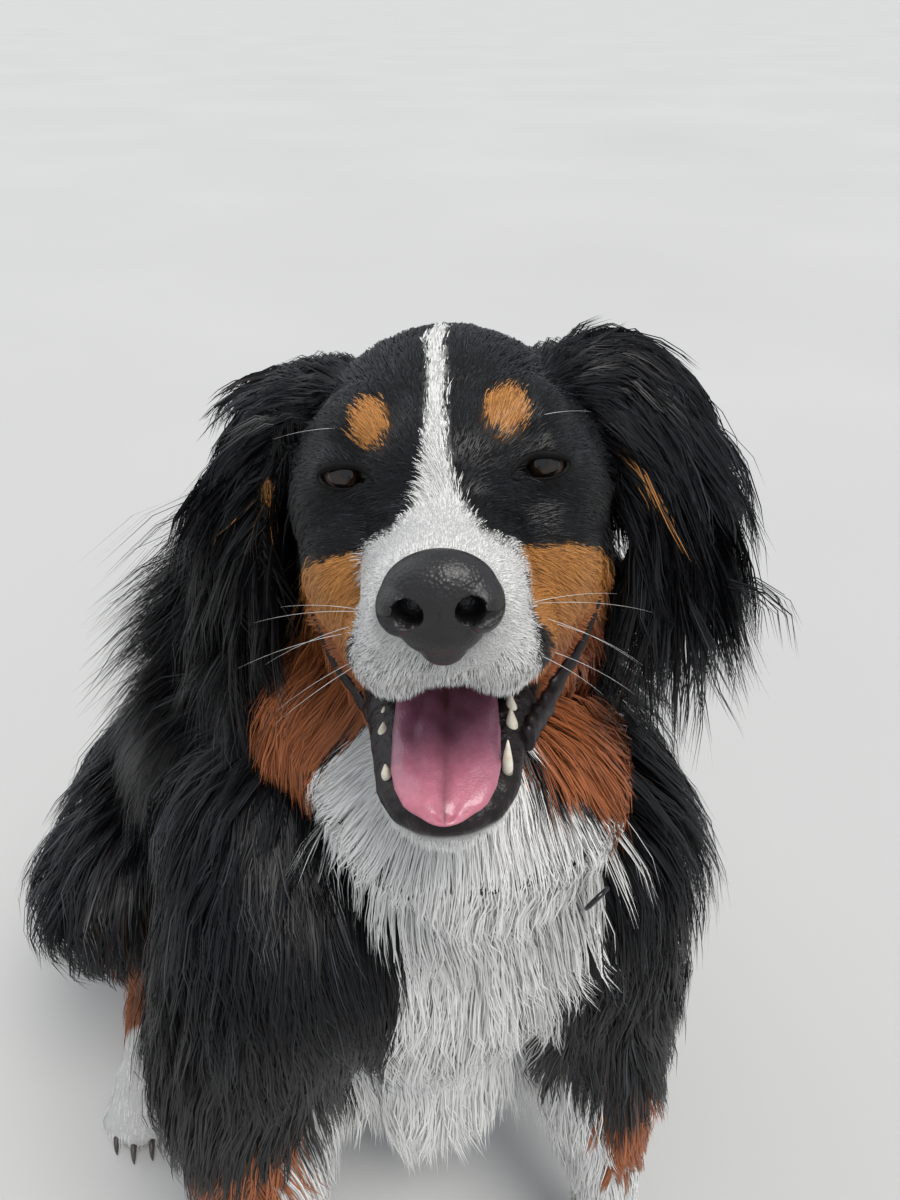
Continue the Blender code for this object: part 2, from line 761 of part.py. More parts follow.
def cheek_locks(head):
    """The longer coat of the cheeks, which lies back and down."""
    draw = np.random.default_rng(SEED + 5)
    tree = BVHTree.FromObject(head, bpy.context.evaluated_depsgraph_get())
    forms = []
    for s in SIDES.values():
        for k in range(CHEEK_LOCKS):
            y = CHEEK_FRONT + CHEEK_STEP * (k % 2) + draw.uniform(-0.005, 0.005)
            z = CHEEK_TOP - CHEEK_STEP * (k // 2)
            skin, normal, _, _ = tree.find_nearest(Vector((2 * s * EAR_BASE, y, z)))
            way = Vector(CHEEK_LIE) - normal * normal.dot(Vector(CHEEK_LIE))
            way = way.normalized() * draw.uniform(*CHEEK_LOCK_LENGTH)
            points = []
            for q in LOCK_SHARES:
                near, out, _, _ = tree.find_nearest(skin + way * q)
                points.append(near + out * (CHEEK_LIFT * sin(q * pi / 2) - CHEEK_SINK))
            forms.append(lock(points, [normal] * 4, *CHEEK_LOCK_SIZE))
    return forms


def in_dog(plane):
    """A plane in head coordinates carried to the dog's frame."""
    point, way = plane
    return head_frame() @ Vector(point), head_turn().to_3x3() @ Vector(way)


def body_cells():
    """Each body node with the planes that bound it, in the order in which they are taken."""
    rows = [("neck", NECK_PLANES)]
    for side, s in SIDES.items():
        armpit = ((s * ARM_INSIDE[side], 0, 0), (-s, 0, 0))
        arm = [armpit, ((0, ARM_BACK, 0), (0, 1, 0)), ((0, 0, ARM_TOP), (-0.3 * s, 0, 1))]
        rows.append((f"front_paw_{side}", arm + [((0, 0, WRIST), (0, 0, 1))]))
        rows.append((f"forearm_{side}", arm + [((0, 0, ELBOW), (0, 0, 1))]))
        rows.append((f"upper_arm_{side}", arm))
        groin = ((LEG[side][1].x - s * THIGH_HALF, 0, 0), (-s, 0, 0))
        leg = [groin, ((0, LEG_BACK, 0), (0, 1, 0)), ((0, LEG_FRONT, 0), (0, -1, 0))]
        rows.append((f"hind_foot_{side}", leg + [((0, 0, HOCK), (0, 0, 1))]))
        rows.append((f"lower_leg_{side}", leg + [KNEE]))
        rows.append((f"thigh_{side}", leg + [HIP]))
    rows.append(("tail", [TAIL_FRONT, TAIL_TOP]))
    rows.append(("rump", [RUMP_FRONT]))
    rows.append(("loin", [LOIN_FRONT]))
    rows.append(("chest", []))
    return rows


def finish(item, colour):
    name = f"{colour}_finish"
    material = bpy.data.materials.get(name)
    if material is None:
        material = bpy.data.materials.new(name)
        material.use_nodes = True
        shader = material.node_tree.nodes["Principled BSDF"]
        shader.inputs["Base Color"].default_value = (*COLOURS[colour], 1.0)
        shader.inputs["Roughness"].default_value = ROUGHNESS.get(colour, 0.7)
        shader.inputs["Metallic"].default_value = 0.0
    item.data.materials.clear()
    item.data.materials.append(material)
    item.data.shade_smooth()
    item.data.set_sharp_from_angle(angle=radians(50))


def placed_head(item, name, colour):
    """Names a piece made in head coordinates and carries it to its place."""
    item.data.transform(head_frame())
    item.name = name
    item.data.name = name
    finish(item, colour)
    return item


def collar_turn():
    return Vector((0, 0, 1)).rotation_difference(COLLAR_TILT.normalized()).to_matrix()


def collar_reach(body):
    """How far the neck reaches from the collar's middle, at each step round it."""
    graph = bpy.context.evaluated_depsgraph_get()
    tree = BVHTree.FromObject(body, graph)
    turn = collar_turn()
    reach = []
    for k in range(COLLAR_STEPS):
        angle = 2 * pi * k / COLLAR_STEPS
        way = turn @ Vector((cos(angle), sin(angle), 0))
        starts = [COLLAR_MIDDLE + turn @ Vector((0, 0, z)) for z in (-COLLAR_HALF, 0, COLLAR_HALF)]
        spots = [tree.ray_cast(start, way)[3] for start in starts]
        reach.append(max(d for d in spots if d))
    for _ in range(3):
        beside = zip(reach[-1:] + reach[:-1], reach, reach[1:] + reach[:1])
        reach = [max(b, (a + b + c) / 3) for a, b, c in beside]
    return [r + 2 * GAP for r in reach]


def collar_band(reach, grow=0.0):
    """A flat band round the neck, laid on its core under the longer coat."""
    bm = bmesh.new()
    rings = []
    half = COLLAR_HALF + grow
    for k, inner in enumerate(reach):
        angle = 2 * pi * k / COLLAR_STEPS
        low = inner - grow
        high = inner + COLLAR_THICK + grow
        corners = [(low, -half), (high, -half), (high, half), (low, half)]
        rings.append([bm.verts.new((r * cos(angle), r * sin(angle), z)) for r, z in corners])
    for a, b in zip(rings, rings[1:] + rings[:1]):
        for k in range(4):
            n = (k + 1) % 4
            bm.faces.new((a[k], b[k], b[n], a[n]))
    bmesh.ops.triangulate(bm, faces=bm.faces)
    item = mesh_object("collar", bm)
    item.data.transform(Matrix.Translation(COLLAR_MIDDLE) @ collar_turn().to_4x4())
    return item


def collar_ring(reach):
    """A small ring that lies on the chest, under the front of the collar."""
    bm = bmesh.new()
    steps, sides = 14, 5
    for i in range(steps):
        turn = 2 * pi * i / steps
        for k in range(sides):
            spin = 2 * pi * k / sides
            r = RING_RADIUS + RING_WIRE * cos(spin)
            bm.verts.new((r * cos(turn), RING_WIRE * sin(spin), r * sin(turn)))
    bm.verts.ensure_lookup_table()
    for i in range(steps):
        for k in range(sides):
            a, b = i * sides + k, i * sides + (k + 1) % sides
            c, d = (i + 1) % steps * sides + (k + 1) % sides, (i + 1) % steps * sides + k
            bm.faces.new([bm.verts[n] for n in (a, b, c, d)])
    bmesh.ops.triangulate(bm, faces=bm.faces)
    item = mesh_object("collar_ring", bm)
    step = round(RING_ANGLE / (2 * pi) * COLLAR_STEPS) % COLLAR_STEPS
    angle = 2 * pi * step / COLLAR_STEPS
    out = max(reach[step - 1], reach[step], reach[step + 1]) + COLLAR_THICK + RING_WIRE + RING_CLEAR
    spot = COLLAR_MIDDLE + collar_turn() @ Vector((out * cos(angle), out * sin(angle), -COLLAR_HALF))
    round_neck = Matrix.Rotation(angle + pi / 2, 4, "Z")
    item.data.transform(Matrix.Translation(spot) @ collar_turn().to_4x4() @ round_neck)
    return item


# Coat

def streams():
    """Straight stretches of the body, each with the direction in which its coat lies."""
    chains = [
        [NECK_TOP, NECK_BASE, WITHERS, RIBS, LOIN, RUMP, TAIL[0]],
        [Vector(p) for p in BIB_LINE],
        TAIL,
    ]
    for side in SIDES:
        chains.append([SHOULDER[side]] + ARM[side])
        chains.append([LEG[side][0] + Vector((0, 0, 0.06))] + LEG[side][1:])
    return [(a, b) for chain in chains for a, b in zip(chain, chain[1:])]


def lie(point, normal, stretches):
    """The direction of the coat at a point of the skin, along the skin."""
    way = Vector((0, 0, -0.35))
    total = 0.0
    drift = Vector((0, 0, 0))
    for a, b in stretches:
        along = b - a
        t = min(1.0, max(0.0, (point - a).dot(along) / along.length_squared))
        weight = 1.0 / ((point - a - along * t).length ** 4 + 1e-7)
        drift += along.normalized() * weight
        total += weight
    way += drift / total
    if point.x < -0.04 and point.z > 0.50 and point.y > -0.05:
        way += WIND
    way -= normal * way.dot(normal)
    return way.normalized()


def lock(path, normals, width, thick):
    """A flat tapered blade along a path, square to the normals there."""
    bm = bmesh.new()
    shape = [0.70, 1.0, 0.66]
    loops = []
    for i, share in enumerate(shape):
        ahead = (path[i + 1] - path[max(i - 1, 0)]).normalized()
        side = normals[i].cross(ahead).normalized()
        rise = ahead.cross(side)
        half = width * share / 2
        deep = thick * share
        corners = (side * half, rise * deep, -side * half)
        loops.append([bm.verts.new(path[i] + corner) for corner in corners])
    for a, b in zip(loops, loops[1:]):
        for k in range(3):
            n = (k + 1) % 3
            bm.faces.new((a[k], a[n], b[n], b[k]))
    tip = bm.verts.new(path[-1])
    for k in range(3):
        bm.faces.new((loops[-1][k], loops[-1][(k + 1) % 3], tip))
    bm.faces.new(loops[0][::-1])
    bmesh.ops.triangulate(bm, faces=bm.faces)
    return mesh_object("lock", bm)


def inside(point, planes, margin=0.0):
    return all((point - Vector(spot)).dot(Vector(way).normalized()) < -margin for spot, way in planes)


def owner(point, rows, margin=0.0):
    """The name of the node whose cell holds a point, or None near a border."""
    for name, planes in rows:
        if inside(point, planes, margin):
            return name
        if inside(point, planes, -margin):
            return None
    return None


def spread(places, count, draw):
    """Picks well spread places out of many."""
    chosen = [places[draw.integers(len(places))]]
    while len(chosen) < min(count, len(places)):
        tries = [places[k] for k in draw.integers(len(places), size=24)]
        chosen.append(max(tries, key=lambda p: min((p[0] - c[0]).length for c in chosen)))
    return chosen


def surface_places(body, number, draw):
    """Random points on a mesh, evenly by area, each with its normal."""
    body.data.calc_loop_triangles()
    triangles = body.data.loop_triangles
    areas = np.array([t.area for t in triangles])
    picks = draw.choice(len(triangles), size=number, p=areas / areas.sum())
    places = []
    for k in picks:
        a, b, c = (body.data.vertices[i].co for i in triangles[k].vertices)
        u, v = sorted(draw.random(2))
        places.append((a * u + b * (v - u) + c * (1 - v), triangles[k].normal.copy()))
    return places


def lock_along(tree, place, way, length, width, rise, allowed):
    """A lock that follows the skin and lifts towards its tip, as far as it is allowed."""
    point, normal = place
    step = length / (LOCK_STEPS - 1)
    path = [point - normal * SINK]
    normals = [normal]
    spot = point
    for k in range(1, LOCK_STEPS):
        t = k / (LOCK_STEPS - 1)
        skin, out, _, _ = tree.find_nearest(spot + way * step)
        if skin.z < FLOOR_CLEAR or not allowed(skin):
            break
        spot = skin
        way = (way - out * way.dot(out) - Vector((0, 0, 0.12))).normalized()
        droop = Vector((0, 0, DROOP * length * t * t))
        path.append(skin + out * (rise * sin(t * pi * LIFT_BEND)) - droop)
        normals.append(out)
    if len(path) < 3:
        return None
    while len(path) < LOCK_STEPS:
        path.insert(-1, (path[-2] + path[-1]) / 2)
        normals.insert(-1, normals[-1])
    return lock(path, normals, width, width * LOCK_DEPTH)


def in_mane(point):
    """Whether a place is where the wind has blown the longer coat off the neck."""
    return point.x < 0.0 and point.y > 0.0 and point.z > 0.600


def mane_locks(places, draw):
    """Locks that the wind has lifted off the dog's right side of the neck."""
    forms = []
    for point, normal in spread([p for p in places if in_mane(p[0])], MANE_LOCKS, draw):
        way = (normal * 0.6 + WIND.normalized()).normalized() * draw.uniform(*MANE_LENGTH)
        path = [point - normal * SINK]
        for share, drop in zip(LOCK_SHARES[1:], MANE_DROOP[1:]):
            path.append(point + way * share - Vector((0, 0, drop)))
        facing = MANE_FACING - way * (MANE_FACING.dot(way) / way.length_squared)
        facing.normalize()
        size = MANE_WIDTH * draw.uniform(0.85, 1.15)
        forms.append(lock(path, [facing] * LOCK_STEPS, size, size * LOCK_DEPTH))
    return forms


def body_locks(name, places, tree, rows, stretches, draw):
    """The locks of one node, well spread, with the blown ones of the mane."""
    count, length, width, rise = COAT[name]
    forms = mane_locks(places, draw) if name == "neck" else []
    for point, normal in spread(places, count, draw):
        size = draw.uniform(0.85, 1.2)
        turn = Matrix.Rotation(draw.uniform(-0.30, 0.30), 3, normal)
        way = turn @ lie(point, normal, stretches)
        for share in BRANCHES:
            form = lock_along(
                tree, (point, normal), way, length * size * share, width * size, rise * size,
                lambda p: owner(p, rows) == name,
            )
            if form:
                forms.append(form)
                break
    return forms


def coat_places(body, rows, draw):
    """Places for locks on each node that has a long coat."""
    homes = {name: [] for name in COAT}
    for point, normal in surface_places(body, 9000, draw):
        name = owner(point, rows, 0.006)
        if name not in homes or point.z < 0.035 or normal.z < -0.75:
            continue
        if name.startswith("forearm") and normal.y < 0.2:
            continue
        homes[name].append((point, normal))
    return homes


def cut_to_cell(item, planes, taken):
    """Trims an object to its cell, clear of the cells taken before."""
    if planes:
        boolean(item, cell(planes), "INTERSECT", "MANIFOLD")
    for other in taken:
        boolean(item, cell(other, GAP), "DIFFERENCE", "MANIFOLD")
    return largest_surface(item)


def make_body(body, whole, reach, ears):
    """Parts the body into its nodes and gives them their coat."""
    draw = np.random.default_rng(SEED)
    graph = bpy.context.evaluated_depsgraph_get()
    tree = BVHTree.FromObject(whole, graph)
    rows = body_cells()
    stretches = streams()
    homes = coat_places(whole, rows, draw)
    taken = [[in_dog(HEAD_BACK), HEAD_UNDER]]
    for name, planes in rows:
        item = copy_of(body)
        item.name = name
        cut_to_cell(item, planes, taken)
        if name in COAT:
            united(item, body_locks(name, homes[name], tree, rows, stretches, draw))
            cut_to_cell(item, planes + [FLOOR], taken)
        taken.append(planes)
        if name in UNDER_COLLAR:
            boolean(item, collar_band(reach, GAP), "DIFFERENCE")
            cleared(item, ears)
        for side in SIDES:
            if name == f"front_paw_{side}":
                united(item, claws("fore", side))
            if name == f"hind_foot_{side}":
                united(item, claws("hind", side))
        finish(item, "black")


def make_ears(reach):
    """Both ears in their place, cut clear of the collar."""
    ears = []
    for side in SIDES:
        item = placed_head(ear(side), f"ear_{side}", "black")
        boolean(item, collar_band(reach, 2 * GAP), "DIFFERENCE")
        ears.append(largest_surface(item))
    return ears


def behind_head(item):
    """Cuts a piece made in head coordinates where the neck begins."""
    item.data.transform(head_frame())
    boolean(item, cell([in_dog(HEAD_BACK), HEAD_UNDER], -GAP), "INTERSECT", "MANIFOLD")
    item.data.transform(head_frame().inverted())
    return largest_surface(item)


def make_head():
    """Parts the head and adds what sits in it."""
    head = head_skin(CORE_SHARE)
    jaw_cell = [JAW_TOP, JAW_BACK]
    jaw = thinned(copy_of(head), JAW_THINNING)
    cut_to_cell(behind_head(jaw), jaw_cell, [])
    united(head, cheek_locks(head))
    cut_to_cell(behind_head(head), [], [jaw_cell])
    for s in SIDES.values():
        boolean(head, cell(beside_ear(s, 1, EAR_BASE)), "DIFFERENCE", "MANIFOLD")
        boolean(head, cell(beside_ear(s, -1, EAR_INSIDE)), "DIFFERENCE", "MANIFOLD")
    boolean(head, profile(PALATE, sides=10), "DIFFERENCE")
    united(head, teeth(UPPER_TEETH))
    united(jaw, teeth(LOWER_TEETH, JAW_SHIFT))
    for item in (head, jaw):
        boolean(item, profile(TONGUE, 2 * GAP, TONGUE_SIDES, JAW_SHIFT), "DIFFERENCE")
        largest_surface(item)
    placed_head(head, "head", "black")
    placed_head(jaw, "lower_jaw", "black")
    placed_head(nose_pad(), "nose_pad", "nose")
    placed_head(profile(TONGUE, 0.0, TONGUE_SIDES, JAW_SHIFT), "tongue", "tongue")
    for side, s in SIDES.items():
        placed_head(eye_ball(s), f"eye_{side}", "iris")


def set_on_floor():
    """Puts every node under one empty, moved so that the middle of the dog's footprint is the origin."""
    nodes = [item for item in bpy.data.objects if item.type == "MESH"]
    corners = np.array([item.matrix_world @ v.co for item in nodes for v in item.data.vertices])
    low, high = corners.min(axis=0), corners.max(axis=0)
    dog = bpy.data.objects.new("dog", None)
    bpy.context.scene.collection.objects.link(dog)
    for item in nodes:
        item.parent = dog
    dog.location = (-(low[0] + high[0]) / 2, -(low[1] + high[1]) / 2, -low[2])
    bpy.context.view_layer.update()


def build():
    clear_scene()
    body = blended(body_forms(CORE_SHARE), BODY_VOXEL, 8, BODY_TRIANGLES)
    boolean(body, cell([FLOOR]), "INTERSECT")
    whole = copy_of(body)
    boolean(body, cell([in_dog(HEAD_BACK), HEAD_UNDER]), "DIFFERENCE")
    reach = collar_reach(body)
    ears = make_ears(reach)
    make_body(body, whole, reach, ears)
    bpy.data.objects.remove(body, do_unlink=True)
    bpy.data.objects.remove(whole, do_unlink=True)
    finish(collar_band(reach), "collar")
    finish(collar_ring(reach), "collar")
    make_head()
    set_on_floor()


build()
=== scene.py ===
"""The looks of a Bernese mountain dog that sits and looks up.

Every form is made in the dog's own frame, which faces -Y with its left at +X, and is then
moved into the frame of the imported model. Lengths are in metres, and in the tables that mm,
at and path read they are in millimetres. The coat is made of narrow tapered ribbons over
one skin, so that it keeps its shape as plain meshes.
"""

from math import cos, pi, radians, sin

import bmesh
import bpy
import numpy as np
from mathutils import Euler, Matrix, Vector
from mathutils.bvhtree import BVHTree
from mathutils.kdtree import KDTree


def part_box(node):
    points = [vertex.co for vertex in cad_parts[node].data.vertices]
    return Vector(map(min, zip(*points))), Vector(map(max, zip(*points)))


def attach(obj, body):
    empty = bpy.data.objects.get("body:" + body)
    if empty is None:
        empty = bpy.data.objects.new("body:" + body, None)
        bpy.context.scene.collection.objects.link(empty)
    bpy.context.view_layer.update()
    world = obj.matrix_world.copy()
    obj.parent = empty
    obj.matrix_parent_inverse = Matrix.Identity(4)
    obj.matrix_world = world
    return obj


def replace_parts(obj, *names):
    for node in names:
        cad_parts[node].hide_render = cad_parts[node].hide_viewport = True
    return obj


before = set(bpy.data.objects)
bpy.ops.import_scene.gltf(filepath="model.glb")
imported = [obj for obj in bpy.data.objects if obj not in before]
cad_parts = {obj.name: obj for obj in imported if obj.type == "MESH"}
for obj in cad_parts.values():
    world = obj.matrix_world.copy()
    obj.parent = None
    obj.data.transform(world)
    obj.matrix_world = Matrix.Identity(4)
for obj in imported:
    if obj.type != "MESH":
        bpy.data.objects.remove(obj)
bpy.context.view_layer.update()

SEED = 11
SIDES = {"right": -1, "left": 1}
UP = np.array([0.0, 0.0, 1.0])


def mm(*values):
    """Millimetres as metres, for numbers or for rows of numbers."""
    return np.array(values, dtype=float) / 1000


def at(*spot):
    return Vector(mm(*spot))


def path(*spots):
    return [at(*spot) for spot in spots]


# Fineness of the skin, and how much of the coat's depth lies under it on body and head
BODY_VOXEL = 0.0070
HEAD_VOXEL = 0.0024
NOSE_VOXEL = 0.0009
BODY_SHARE = 0.22
HEAD_SINK = 0.70

# Camera: its place in the dog's frame, its turn from the +Y axis, its tilt and its lens
CAMERA_SPOT = at(-123.18, -410.57, 959.28)
CAMERA_TURN = radians(-20)
CAMERA_TILT = radians(-35)
LENS = 26.1

# Pose of the head: the tip of the nose, and the turn from a head that looks along -Y
NOSE = at(-35, -155, 770)
HEAD_YAW = radians(-22)
HEAD_PITCH = radians(-17)
HEAD_ROLL = radians(-4)

# Joints of the sitting body
WITHERS = at(-15, 90, 515)
SHOULDER = {"right": at(-102, 10, 465), "left": at(100, -10, 470)}
NECK_TOP = at(45, 40, 690)
NECK_BASE = at(5, 30, 560)
THROAT = at(18, -62, 545)
PROSTERNUM = at(0, -50, 425)
RIBS = at(-25, 100, 400)
LOIN = at(-80, 250, 320)
RUMP = at(-92, 365, 172)
MANE = at(-50, 130, 552)
TAIL = path((-100, 475, 85), (-92, 560, 52), (-60, 645, 44), (0, 710, 40), (78, 735, 36))
ARM = {
    "right": path(
        (-95, -45, 455), (-150, -45, 330), (-156, -88, 215), (-160, -112, 120), (-162, -125, 50)
    ),
    "left": path(
        (92, -60, 455), (122, -68, 330), (118, -118, 215), (114, -146, 120), (113, -160, 50)
    ),
}
LEG = {
    "right": path(
        (-165, 335, 210), (-240, 195, 255), (-238, 275, 105), (-238, 305, 28), (-262, 150, 26)
    ),
    "left": path((-18, 335, 210), (78, 195, 255), (84, 275, 105), (88, 305, 28), (118, 150, 26)),
}
# Half thickness of the flesh at each joint, and the depth of the coat there
TAIL_RADII = mm(30, 26, 21, 16, 8)
TAIL_COAT = 0.028
ARM_RADII = mm(62, 52, 34, 27, 26)
ARM_COAT = mm(44, 44, 26, 10, 6)
LEG_RADII = mm(105, 62, 36, 28, 25)
LEG_COAT = mm(35, 24, 18, 10, 6)
BACK_RADII = mm(125, 118, 125)
BACK_COAT = 0.035
SHOULDER_SIZE = mm(56, 70, 80)
SHOULDER_COAT = 0.036
# The torso and neck as ellipsoids: centre, half sizes of the flesh, depth of the coat
TORSO = [
    (PROSTERNUM, mm(92, 68, 140), 0.042), (WITHERS, mm(95, 95, 70), 0.036),
    (RIBS, mm(130, 140, 150), 0.036), (LOIN, mm(120, 125, 135), 0.038),
    (RUMP, mm(135, 130, 160), 0.036), (THROAT, mm(80, 56, 70), 0.042),
    (NECK_BASE, mm(90, 85, 90), 0.046), ((NECK_BASE + NECK_TOP) / 2, mm(76, 72, 90), 0.050),
    (NECK_TOP, mm(68, 70, 66), 0.036), (MANE, mm(45, 50, 44), 0.040),
]
PAWS = {
    "fore": {"joints": ARM, "reach": 0.018, "palm": mm(36, 46, 30), "toe": 0.0185},
    "hind": {"joints": LEG, "reach": 0.022, "palm": mm(33, 46, 27), "toe": 0.0175},
}
# Heights of toes and palm, how far ahead the toes lie, and their shape
TOE_HEIGHT = 0.0165
PALM_HEIGHT = 0.023
TOE_REACH = 0.027
TOE_LEAD = 0.012
TOE_SHAPE = np.array((0.96, 1.35, 0.96))
CLAW_PATH = mm((0, 0), (6, 0.8), (10, 2.5), (14, 5.5), (16.5, 9.5))
CLAW_SIZES = mm((3.2, 3.6), (3.0, 3.4), (2.6, 3.0), (1.8, 2.2), (0.6, 0.8))

# The head, in its own frame: x to the dog's left, y back from the nose, z up
EYE = at(47.5, 104, 33)
EYE_RADIUS = 0.0112
EYE_TURN = radians(16)
EYE_BULGE = 0.0006
# Degrees from the gaze at which the parts of an eye end
EYE_RINGS = {"pupil": 15, "iris": 33, "bulge": 34, "rim": 42}
# The skin of the head isn't drawn in this near the eyes, and nowhere by more than this
EYE_KEEP = 0.016
EYE_FADE = 0.012
SINK_MOST = 0.006
LID_SIZE = mm(12.2, 12.0, 5.2)
LID_OUT = -0.0004
LID_AHEAD = 0.0125
LID_WIRE = 0.0007
LID_STEPS = 60
# The corners of the lids beside the opening, the drop of the inner one, and how much thicker the dark
# upper rim is drawn, partly lid and partly painted shade under the brow
LID_CORNER = 0.34
LID_TAIL = 0.12
LID_DROP = 0.45
UPPER_LID_SHADE = 1.9
JAW_SHIFT = -0.005
# Rows of y, z, half width and half height
MUZZLE = mm(
    (16, -12, 29, 24), (30, -14, 35.5, 32), (60, -14, 39, 35), (90, -7, 42, 37), (130, -2, 50, 42)
)
JAW = mm(
    (160, -62, 52, 22), (120, -83, 48, 19), (80, -102, 42, 16), (52, -114, 36, 13.5), (36, -120, 26, 11)
)
TONGUE = mm(
    (130, -66, 23, 7.5), (100, -78, 25.5, 8), (72, -90, 26.5, 7.8), (50, -99, 26, 6.5),
    (35, -106, 22.5, 5.2), (26, -111, 13, 3.4),
)
PALATE = mm((34, -56, 16, 8), (50, -58, 24, 12), (90, -61, 31, 15), (130, -64, 34, 16))
# Ellipsoids: centre and half sizes
SKULL = mm(
    (0, 176, 34, 76, 80, 67), (0, 235, 0, 78, 60, 78), (0, 122, 24, 52, 48, 46),
    (0, 190, -60, 70, 60, 56), (-5, 40, -119, 22, 15, 12),
)
FACE_SIDES = mm(
    (34, 138, 50, 33, 44, 28), (48, 156, 12, 40, 64, 56), (44, 128, -14, 36, 48, 46),
    (22, 44, -35, 20, 27, 19), (34, 76, -40, 18, 38, 19), (46, 116, -44, 19, 32, 28),
    (66, 196, 62, 28, 30, 26), (47.5, 104.5, 33, 16, 14, 13.5), (46, 170, -30, 42, 46, 56),
    (42, 176, -78, 38, 40, 46), (55, 147, -66, 21, 20, 27),
)
NOSE_MIDDLE = mm((0, 14, -2, 24, 15, 18.5), (0, 14, -15.5, 17.5, 13.2, 12), (0, 15, -24, 10, 9, 8.5))
NOSE_WING = mm(16, 13, -6, 10, 15, 12)
NOSE_BACK = 0.0180
NOSTRIL_PATH = mm(
    (8.5, 15, -4), (11.5, 6, -5), (13, -3, -6), (18.5, -2, -9.5), (24.5, 4, -8.5), (28, 10, -4)
)
NOSTRIL_SIZES = mm((4.4, 4.4), (6.2, 6.0), (7.8, 7.0), (4.8, 4.4), (2.6, 2.4), (1.1, 1.2))
GROOVE_PATH = path((0, -1.5, -4), (0, -1.2, -10), (0, 0, -18), (0, 1, -26), (0, 3, -36))
GROOVE_SIZE = mm(0.7, 1.6)
# Depths of the tongue's groove, hollow, waves and folds
TONGUE_GROOVE = 0.0042
TONGUE_CUP = 0.0022
TONGUE_WAVE = 0.0007
TONGUE_FOLD = 0.0016
# Teeth: root, direction, length and radius in millimetres
UPPER_TEETH = [
    (21.5, 50, -48, 0.08, -0.1, -1, 13, 3.6), (7, 44, -48, 0, -0.1, -1, 3, 3),
    (27, 72, -50, 0, 0, -1, 8, 4.6),
]
LOWER_TEETH = [
    (29, 55, -100, 0.05, -0.22, 1, 15, 2.8), (32, 82, -90, 0, 0, 1, 6, 3.4),
    (32.2, 92, -86, 0, 0, 1, 5.2, 3.6),
]
TOOTH_ROOT = 0.006
TOOTH_BOW = 0.0010
# The lip hides more of the teeth on the dog's right
TOOTH_SHOWN = {"right": 0.12, "left": 0.9}
EAR_PATH = {
    "right": mm((64, 188, 72), (94, 190, 62), (112, 188, 20), (118, 186, -30), (115, 182, -72)),
    "left": mm((64, 188, 74), (96, 192, 64), (118, 192, 26), (127, 188, -20), (126, 184, -60)),
}
EAR_FACING = {"right": Vector((-0.85, -0.40, 0.30)), "left": Vector((0.50, -0.80, 0.30))}
EAR_WIDTHS = mm(20, 34, 42, 36, 14)
EAR_THICK = 0.008
EAR_CUP = 0.28
EAR_STEPS = 14
EAR_COLUMNS = 8
EAR_EASE = 0.12

# The collar, which lies on the skin under the coat, and its ring
COLLAR_MIDDLE = at(12, -5, 583)
COLLAR_TILT = Vector((0.10, -0.35, 1.0))
COLLAR_STEPS = 32
COLLAR_FINE = 96
COLLAR_HALF = 0.0125
COLLAR_THICK = 0.0032
COLLAR_EDGE = 0.0008
COLLAR_CLEAR = 0.0015
# How the coat passes over the band: its cover, where it begins to rise, its most, and how
# many times more hairs grow just above the band
BAND_COVER = 0.0060
BAND_EASE = 0.0300
BAND_PUSH = 0.0300
BAND_DENSE = 2.5
RING_ANGLE = radians(-62)
RING_RADIUS = 0.0085
RING_WIRE = 0.0014
RING_STEPS = 64

# The folds of the cheeks that run on from the corners of the mouth: places and half widths
# Along them the coat is left off and a dark ridge is laid; the dark is partly lip and partly painted
# shade of the fold.
CREASE = {
    "right": mm(
        (-84, 139, -50, 1.6), (-77, 138, -66, 2.6), (-67, 134, -84, 3.6), (-54, 118, -95, 5.2),
        (-46, 104, -98, 5.8),
    ),
    "left": mm(
        (79, 128, -44, 1.4), (73, 129, -60, 3.0), (64, 131, -78, 5.0), (53, 127, -94, 7.4),
        (45, 106, -99, 8.6), (38, 90, -100, 9.0), (34, 79, -101, 8.0),
    ),
}
LIP_STEPS = 40
LIP_RISE = 0.06
LIP_ROOT = 0.0105
LIP_INWARD = mm(7.8, 6.6)
LIP_WIDE = 0.86
LIP_HIGH = 0.46
LIP_BEAD = 0.12
LIP_BEADS = 9.0

# Whiskers: places on the muzzle and brow, their direction, and their length in millimetres
WHISKERS = [
    (37, 58, -22, 1, 0.5, 0, 56), (40, 66, -27, 1, 0.6, -0.1, 66), (40, 60, -34, 1, 0.45, -0.35, 60),
    (43, 70, -38, 1, 0.55, -0.45, 70), (34, 48, -40, 1, 0.15, -0.6, 40),
    (40, 62, -44, 1, 0.35, -0.7, 52), (41, 97, 55, 1, 0.5, 0.2, 42),
]
WHISKER_WIRE = 0.00016
WHISKER_POINTS = 9
WHISKER_SAG = Vector((0, 0.10, -0.22))

# Markings. The blaze as rows of height and half width, in the head's frame
BLAZE = mm(
    (-75, 46), (-45, 41.5), (-36, 40.5), (-4, 38), (5, 34), (10, 27.5), (15, 19.5), (21, 12.2),
    (28, 8), (40, 5.6), (65, 4.2), (110, 3.8),
)
BLAZE_MIDDLE = -0.0018
BLAZE_BACK = 0.200
MUZZLE_BACK = mm((-60, 50), (-36, 58), (-4, 84), (12, 100))
CHIN_TOP = -0.085
CHIN_HALF = 0.040
CHIN_BACK = 0.075
BROW_SPOTS = mm((-32.3, 55.5, 8.4, 10.8), (30.3, 58, 9.8, 10.6))
CHEEK_TOP = mm((62, 3), (82, -2), (102, -11), (122, -14), (145, -12), (190, -30))
CHEEK_BACK = mm((-190, 200), (-150, 200), (-120, 190), (-60, 178), (-20, 165))
CHEEK_LOW = {
    "right": mm((34, -92), (70, -132), (100, -142)),
    "left": mm((20, -112), (36, -132), (55, -150), (78, -172), (120, -200)),
}
CHEEK_INNER = {"right": 0.034, "left": 0.020}
